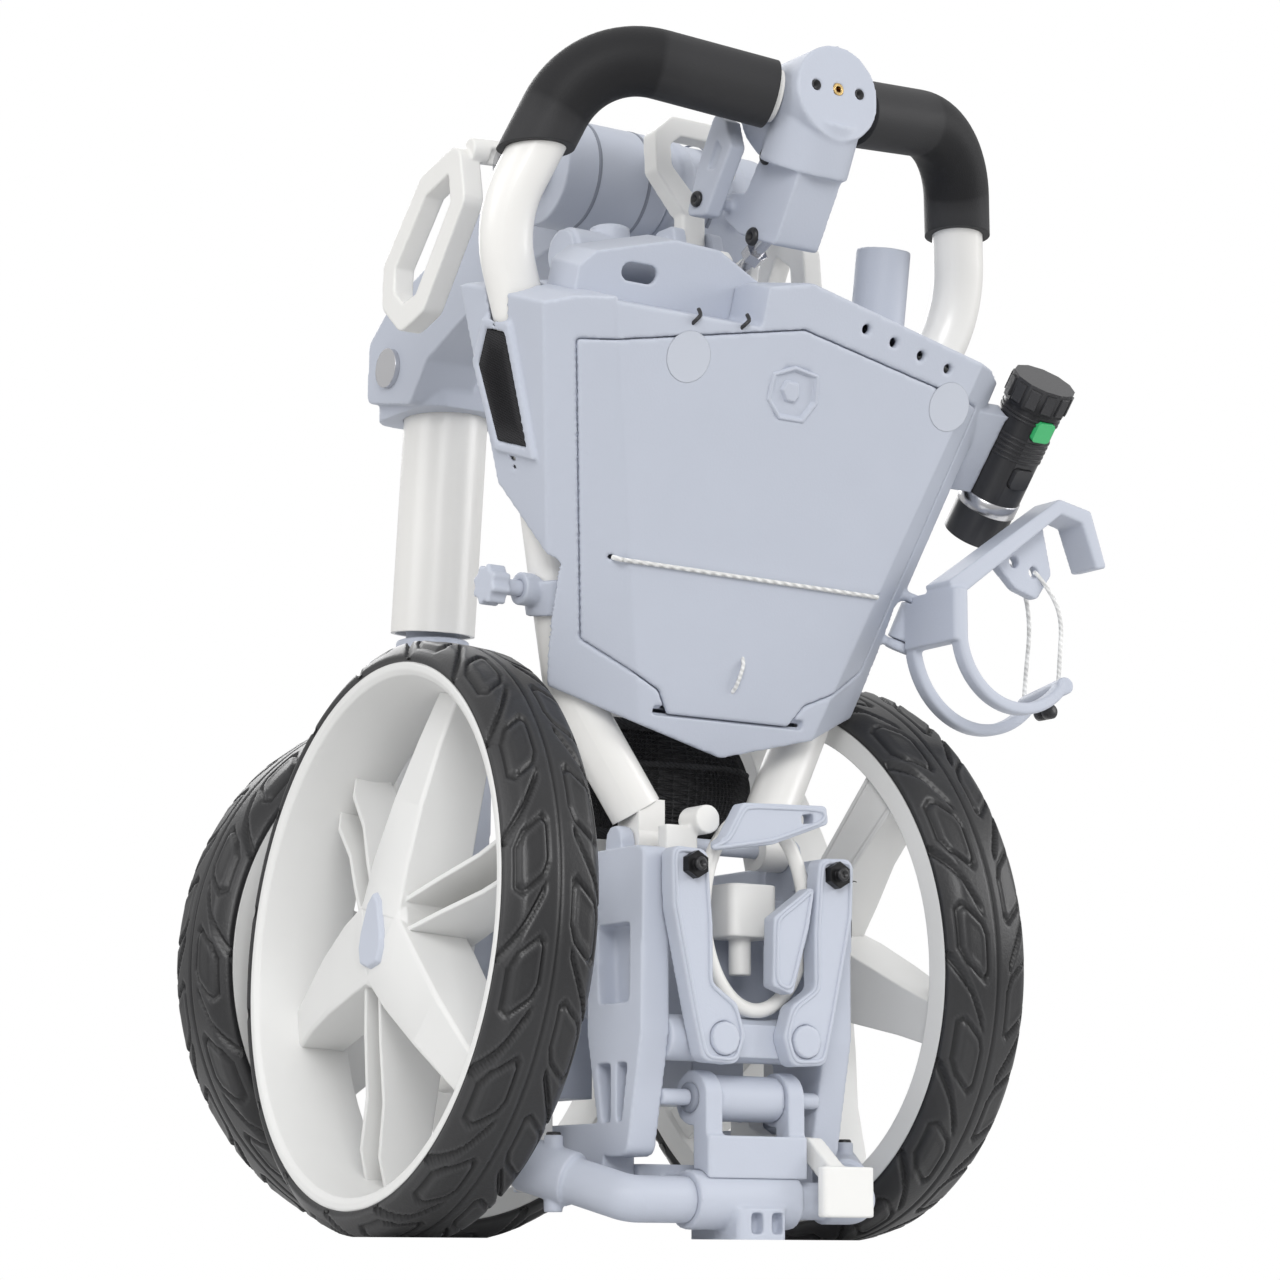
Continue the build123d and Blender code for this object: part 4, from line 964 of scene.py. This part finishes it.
@dataclass
class Lamp:
    """Ribbed lamp with a metal band and a lens, on the console's right wall."""

    top: Vector = field(default_factory=lambda: Vector((0.160, -0.063, 0.435)))
    end: Vector = field(default_factory=lambda: Vector((0.160, -0.003, 0.365)))
    radius: float = 0.0155

    def base(self) -> Matrix:
        """Frame at the lamp's cap, Z along the lamp.

        Returns:
            The frame.
        """
        line = (self.end - self.top).normalized()
        side = Vector((1, 0, 0))
        return Matrix.Translation(self.top) @ Matrix((side, line.cross(side), line)).transposed().to_4x4()

    def build(self) -> None:
        """Make the ribs, band and lens around the lamp's body."""
        base = self.base()
        parts = []
        for k in range(7):
            z = 0.0165 + k * 0.0022 if k < 2 else 0.029 + (k - 2) * 0.0028
            ring = [(self.radius - 0.0002, z), (self.radius + 0.0006, z + 0.0004),
                    (self.radius + 0.0006, z + 0.0012),
                    (self.radius - 0.0002, z + 0.0016)]
            arc_steps, verts, faces = 56, [], []
            for i in range(arc_steps + 1):
                turn = math.radians(-62 + 304 * i / arc_steps)
                verts += [base @ Vector((r * math.cos(turn), r * math.sin(turn), h)) for r, h in ring]
            for i in range(arc_steps):
                for j in range(4):
                    m = (j + 1) % 4
                    faces.append((i * 4 + j, i * 4 + 4 + j, i * 4 + 4 + m, i * 4 + m))
            parts.append((verts, faces))
        for k in range(12):
            turn = math.radians(30 * k + 15)
            spot = base @ Matrix.Rotation(turn, 4, "Z") @ Matrix.Translation((0.0166, 0, 0.007))
            outline = [(-0.0008, -0.0028), (0.0006, -0.0028), (0.0006, 0.0028), (-0.0008, 0.0028)]
            parts.append(Maker.prism(outline, -0.0050, 0.0050, spot))
        verts, faces = Maker.join(parts)
        ribs = Maker.piece("lamp_ribs", verts, faces, BLACK, "upper_frame", smooth=False)
        Maker.bevel(ribs, 0.0002, 2, 30)
        r = self.radius
        verts, faces = Maker.turned([(r - 0.0005, 0.0665), (r + 0.0005, 0.0672), (r + 0.0005, 0.0745),
                                     (r - 0.0005, 0.0752)], base, 64)
        Maker.piece("lamp_band", verts, faces, STEEL, "upper_frame")
        profile = [(0.0, 0.0888), (r - 0.0032, 0.0898), (r - 0.0026, 0.0906), (0.0, 0.0908)]
        verts, faces = Maker.turned(profile, base, 48)
        Maker.piece("lamp_lens", verts, faces, LENS, "upper_frame")


@dataclass
class CupElastic:
    """Thin elastic of the cup holder, with a cord lock on its hoops."""

    def build(self) -> None:
        """Make the elastic from the slotted lug to the hoops' free ends, and the cord lock."""
        ends = ((0.1856, -0.012, 0.2765), (0.1764, -0.050, 0.2800))
        for number, (end, lug) in enumerate(zip(ends, ((0.157, -0.0335, 0.344), (0.170, -0.0405, 0.340)))):
            start, stop = Vector(lug), Vector(end)
            middle = start.lerp(stop, 0.45) + Vector((0.010, -0.002, 0.006))
            Maker.cable(f"cup_elastic_{number + 1}",
                        [start, start + Vector((0.005, -0.003 + 0.004 * number, -0.002)), middle,
                         stop + Vector((0.001, 0, 0.012)), stop], 0.0011, BRAID, "cup")
        low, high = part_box("cup_cord")
        middle = (low + high) / 2
        base = Matrix.Translation(middle) @ Matrix.Rotation(math.pi / 2, 4, "X")
        profile = [(0.0, -0.0060), (0.0030, -0.0060), (0.0038, -0.0050), (0.0038, -0.0010), (0.0030, 0.0),
                   (0.0038, 0.0010), (0.0038, 0.0050), (0.0030, 0.0060), (0.0, 0.0060)]
        verts, faces = Maker.turned(profile, base, 32, closed=False)
        lock = Maker.piece("cord_lock", verts, faces, BLACK, "cup")
        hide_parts("cup_cord")


@dataclass
class DoorCord:
    """White elastic that crosses the door, twisted along its length."""

    radius: float = 0.0012

    def build(self) -> None:
        """Make the three twisted strands and the cord's two ends."""
        face = Console().face()
        ends = (face @ Vector((-0.082, 0.106, -0.004)), face @ Vector((0.075, 0.104, -0.003)))
        first = face @ Vector((-0.0795, 0.1059, 0.0009))
        last = face @ Vector((0.0735, 0.1041, 0.0009))
        steps = 300
        parts = []
        for strand in range(3):
            points = []
            for i in range(steps + 1):
                t = i / steps
                at = first.lerp(last, t)
                turn = t * 2 * math.pi * 62 + strand * 2 * math.pi / 3
                offset = face.to_3x3() @ Vector((0, math.cos(turn), math.sin(turn))) * 0.00062
                points.append(at + offset)
            verts, faces = [], []
            for i, p in enumerate(points):
                for k in range(6):
                    a = 2 * math.pi * k / 6
                    verts.append(p + face.to_3x3() @ Vector((0, math.cos(a), math.sin(a))) * 0.00062)
                if i:
                    for k in range(6):
                        m = (k + 1) % 6
                        faces.append(((i - 1) * 6 + k, (i - 1) * 6 + m, i * 6 + m, i * 6 + k))
            parts.append((verts, faces))
        verts, faces = Maker.join(parts)
        cord = Maker.piece("door_elastic", verts, faces, BRAID, "door")
        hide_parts("door_cord")
        for number, (inside, edge) in enumerate(((ends[0], first), (ends[1], last))):
            middle = inside.lerp(edge, 0.5) + face.to_3x3() @ Vector((0, 0, 0.0016))
            Maker.cable(f"door_elastic_end_{number + 1}", [inside, middle, edge], self.radius, BRAID, "door")


@dataclass
class Hardware:
    """Screw heads, seams and caps on the folding parts."""

    def disc(self, name: str, at: tuple[float, float, float], axis: tuple[float, float, float],
             radius: float, height: float, finish: Finish, body: str) -> None:
        """Domed head with a round socket.

        Args:
            name: Piece name.
            at: Middle of the head's seat.
            axis: Outward direction.
            radius: Head radius.
            height: Head height.
            finish: Its finish.
            body: Body that it rides on.
        """
        turn = Vector(axis).to_track_quat("Z", "Y").to_matrix().to_4x4()
        base = Matrix.Translation(at) @ turn
        profile = [(radius, -0.0004), (radius, height * 0.5), (radius * 0.85, height),
                   (radius * 0.48, height),
                   (radius * 0.44, height * 0.2), (0.0, height * 0.2)]
        verts, faces = Maker.turned(profile, base, 36, closed=False)
        Maker.piece(name, verts, faces, finish, body)

    def build(self) -> None:
        """Make every head, cap and seam ring."""
        for number, x in enumerate((-0.042, 0.042)):
            self.disc(f"arm_screw_{number + 1}", (x, -0.0448, 0.176), (0, -1, 0), 0.0033, 0.0012, NUT,
                      "chassis")
        for number, (x, z) in enumerate(((-0.013, 0.524), (-0.013, 0.486))):
            self.disc(f"joint_screw_{number + 1}", (x, -0.060 + number * 0.012, z), (-1, 0, 0), 0.0046,
                      0.0018, NUT, "upper_frame")
        self.disc("lever_screw", (-0.034, -0.030, 0.506), (-1, 0, 0), 0.0040, 0.0014, NUT, "upper_frame")
        self.disc("hub_button", (-0.062, 0.005, 0.4934), (0, 0, 1), 0.0098, 0.0016, GREY, "chassis")
        for side in (-1, 1):
            word = "left" if side < 0 else "right"
            for part, at, axis, radius, height, finish in (
                    ("link", (side * 0.076, 0.0395, 0.032), (0, -1, 0), 0.0055, 0.0018, NUT),
                    ("elbow", (side * 0.086, 0.014, 0.0500), (0, 0, 1), 0.0036, 0.0014, NUT),
                    ("roller", (side * 0.0288, -0.016, 0.068), (side, 0, 0), 0.0072, 0.0018, DARK_GREY_AND_PAINTED_SHADE)):
                self.disc(f"{part}_screw_{word}", at, axis, radius, height, finish, "chassis")
        for x in (-0.0445, -0.0140, 0.0270):
            base = Matrix.Translation((x, 0.068, 0.541)) @ Matrix.Rotation(math.pi / 2, 4, "Y")
            profile = [(0.0283, -0.0012), (0.0287, -0.0008), (0.0287, 0.0008), (0.0283, 0.0012)]
            verts, faces = Maker.turned(profile, base, 96)
            Maker.piece(f"barrel_seam_{int(x * -1e4) % 997}", verts, faces, DARK_GREY_AND_PAINTED_SHADE,
                        "front_tube" if x < 0 else "chassis")
        for number, x in enumerate((-0.013, 0.013)):
            base = Matrix.Translation((x, -0.0925, 0.549)) @ Matrix.Rotation(math.pi / 2, 4, "X")
            profile = [(0.0, 0.0), (0.0025, 0.0), (0.0025, 0.0084), (0.0021, 0.0086), (0.0021, 0.0016),
                       (0.0, 0.0016)]
            verts, faces = Maker.turned(profile, base, 24, closed=False)
            Maker.piece(f"joint_bush_{number + 1}", verts, faces, BLACK, "upper_frame")


@dataclass
class Dressing:
    """Finishes of the frame's own pieces."""

    grey: tuple[str, ...] = ("bracket_frame", "bracket_arms", "link_clevis", "bottom_barrel", "elbows",
                             "strap_cleats", "mast_head", "strap_hub", "hinge_housing", "handle_joint",
                             "latch_lever", "console_shell", "console_rear_cover", "console_door",
                             "console_tray",
                             "front_fork", "umbrella_socket", "cup_holder", "knob_clamp", "side_knob",
                             "left_hub_carrier", "right_hub_carrier", "cross_rods")
    tubes: tuple[str, ...] = ("spine_tube", "main_tube", "frame_tubes", "left_lower_link", "left_upper_link",
                              "right_lower_link", "right_upper_link")
    white: tuple[str, ...] = ("strap_posts", "brake_pedal", "release_loop", "handle_clevis", "bag_arm_left",
                              "bag_arm_right")
    steel: tuple[str, ...] = ("hinge_pin", "housing_bolt", "tension_rod")
    other: tuple[tuple[str, Finish], ...] = (("bracket_nuts", NUT), ("elastic_ring", RING), ("grips", FOAM),
                                             ("threaded_insert", BRASS), ("lamp_body", BLACK),
                                             ("lamp_button_green", GREEN), ("lamp_button_black", BLACK))
    fine: tuple[str, ...] = ("bag_arm_left", "bag_arm_right", "release_loop", "brake_pedal", "latch_lever",
                             "strap_cleats", "strap_posts", "bracket_arms", "handle_clevis", "cup_holder",
                             "knob_clamp", "side_knob", "link_clevis", "elbows", "umbrella_socket",
                             "strap_hub", "left_hub_carrier", "right_hub_carrier", "console_tray")
    broad: tuple[str, ...] = ("handle_joint", "mast_head", "hinge_housing", "bracket_frame", "front_fork",
                              "console_shell", "console_door", "bottom_barrel", "cross_rods")
    fine_voxel: float = 0.0007
    broad_voxel: float = 0.0010
    passes: int = 6

    def soften(self, node: str, voxel: float) -> None:
        """Put a copy with rounded edges in place of a node's sharp-edged solid.

        Args:
            node: The node's name.
            voxel: Cell size of the copy's surface in metres.
        """
        source = frame["nodes"][node]
        mesh = source.data.copy()
        shape = bmesh.new()
        shape.from_mesh(mesh)
        bmesh.ops.remove_doubles(shape, verts=shape.verts, dist=1e-6)
        shape.to_mesh(mesh)
        shape.free()
        obj = bpy.data.objects.new(f"{node}_moulding", mesh)
        bpy.context.scene.collection.objects.link(obj)
        skin = obj.modifiers.new("even_skin", "REMESH")
        skin.mode = "VOXEL"
        skin.voxel_size = voxel
        skin.use_smooth_shade = True
        round_off = obj.modifiers.new("rounded", "SMOOTH")
        round_off.factor = 0.5
        round_off.iterations = self.passes
        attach(obj, source["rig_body"])
        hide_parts(node)
        log.info("%s: rounded", node)

    def __post_init__(self) -> None:
        """Look up each node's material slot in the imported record."""
        self.slots = {row["node"]: row["material_slot"] for row in frame["record"]["subparts"]}

    def dress(self, node: str, finish: Finish) -> None:
        """Give one node its finish.

        Args:
            node: The node's name.
            finish: Its finish.
        """
        obj = frame["nodes"][node]
        obj.data.materials.clear()
        obj.data.materials.append(shop.get(finish))

    def build(self) -> None:
        """Dress every carried-over node."""
        for names, finish in ((self.grey, GREY), (self.tubes, WHITE_TUBE), (self.white, WHITE),
                              (self.steel, STEEL)):
            for node in names:
                self.dress(node, finish)
        for node, finish in self.other:
            self.dress(node, finish)
        for names, voxel in ((self.fine, self.fine_voxel), (self.broad, self.broad_voxel)):
            for node in names:
                self.soften(node, voxel)
        log.info("dressed the frame")


@dataclass
class Studio:
    """Pale floor, soft lights and the camera."""

    eye: Vector = field(default_factory=lambda: Vector((-1.001, -1.410, -0.010)))
    ahead: Vector = field(default_factory=lambda: Vector((0.552, 0.8157, 0.1729)))
    above: Vector = field(default_factory=lambda: Vector((-0.0985, -0.142, 0.9849)))
    low_sky: float = 0.34
    high_sky: float = 0.85

    def light(self, name: str, at: tuple[float, float, float], size: float, power: float,
              tint: tuple[float, float, float] = (1, 1, 1)) -> None:
        """Square soft light aimed at the cart.

        Args:
            name: Light name.
            at: Its place.
            size: Side in metres.
            power: Watts.
            tint: Colour.
        """
        data = bpy.data.lights.new(name, "AREA")
        data.shape = "SQUARE"
        data.size = size
        data.energy = power
        data.color = tint
        lamp = bpy.data.objects.new(name, data)
        bpy.context.scene.collection.objects.link(lamp)
        lamp.location = at
        aim = Vector((0, 0.05, 0.28)) - Vector(at)
        lamp.rotation_euler = aim.to_track_quat("-Z", "Y").to_euler()

    def build(self) -> None:
        """Set the stage."""
        data = bpy.data.cameras.new("camera")
        data.lens = 100.0
        data.sensor_width = 36.0
        data.clip_start = 0.01
        camera = bpy.data.objects.new("camera", data)
        bpy.context.scene.collection.objects.link(camera)
        ahead = self.ahead.normalized()
        side = ahead.cross(self.above).normalized()
        top = side.cross(ahead)
        turn = Matrix((side, top, -ahead)).transposed().to_4x4()
        camera.matrix_world = Matrix.Translation(self.eye) @ turn
        bpy.context.scene.camera = camera
        verts = [(-0.55, -0.35, -0.0012), (0.75, -0.35, -0.0012), (0.75, 0.95, -0.0012),
                 (-0.55, 0.95, -0.0012)]
        mesh = bpy.data.meshes.new("floor")
        mesh.from_pydata(verts, [], [(0, 1, 2, 3)])
        floor = bpy.data.objects.new("floor", mesh)
        bpy.context.scene.collection.objects.link(floor)
        paper = bpy.data.materials.new("pale_paper")
        paper.use_nodes = True
        shader = paper.node_tree.nodes["Principled BSDF"]
        shader.inputs["Base Color"].default_value = (0.86, 0.86, 0.86, 1)
        shader.inputs["Roughness"].default_value = 0.75
        nodes, links = paper.node_tree.nodes, paper.node_tree.links
        shape, glow, pick = (nodes.new(kind) for kind in
                             ("ShaderNodeNewGeometry", "ShaderNodeEmission", "ShaderNodeMixShader"))
        links.new(shape.outputs["Backfacing"], pick.inputs["Fac"])
        links.new(shader.outputs[0], pick.inputs[1])
        links.new(glow.outputs[0], pick.inputs[2])
        links.new(pick.outputs[0], nodes["Material Output"].inputs["Surface"])
        mesh.materials.append(paper)
        world = bpy.data.worlds.new("studio")
        world.use_nodes = True
        nodes, links = world.node_tree.nodes, world.node_tree.links
        sky = nodes["Background"]
        sky.inputs[0].default_value = (1.0, 1.0, 1.0, 1)
        place, height = nodes.new("ShaderNodeTexCoord"), nodes.new("ShaderNodeSeparateXYZ")
        ramp, seen, pick = (nodes.new(kind) for kind in
                            ("ShaderNodeMapRange", "ShaderNodeLightPath", "ShaderNodeMix"))
        ramp.inputs["From Min"].default_value = -1.0
        ramp.inputs["To Min"].default_value = self.low_sky
        ramp.inputs["To Max"].default_value = self.high_sky
        links.new(place.outputs["Generated"], height.inputs[0])
        links.new(height.outputs["Z"], ramp.inputs["Value"])
        links.new(seen.outputs["Is Camera Ray"], pick.inputs["Factor"])
        links.new(ramp.outputs["Result"], pick.inputs["A"])
        pick.inputs["B"].default_value = 1.0
        links.new(pick.outputs["Result"], sky.inputs[1])
        bpy.context.scene.world = world
        bpy.context.scene.view_settings.view_transform = "Standard"
        self.light("key_light", (-1.1, -1.7, 1.0), 0.9, 21.0)
        self.light("side_light", (1.6, -1.0, 0.8), 0.9, 11.0)
        self.light("left_light", (-1.7, 0.2, 0.9), 0.9, 6.0)
        self.light("back_light", (0.4, 1.6, 1.3), 1.0, 10.0)


def main() -> None:
    """Build the cart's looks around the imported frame, then finish."""
    logging.basicConfig(level=logging.INFO, format="%(name)s: %(message)s")
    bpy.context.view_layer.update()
    Studio().build()
    Dressing().build()
    for side in WheelSide:
        RoadWheel(side).build()
    Console().build()
    NetBag().build()
    RaisedRims().build()
    StrapBundle().build()
    Lamp().build()
    DoorCord().build()
    CupElastic().build()
    Hardware().build()


if __name__ == "__main__":
    main()
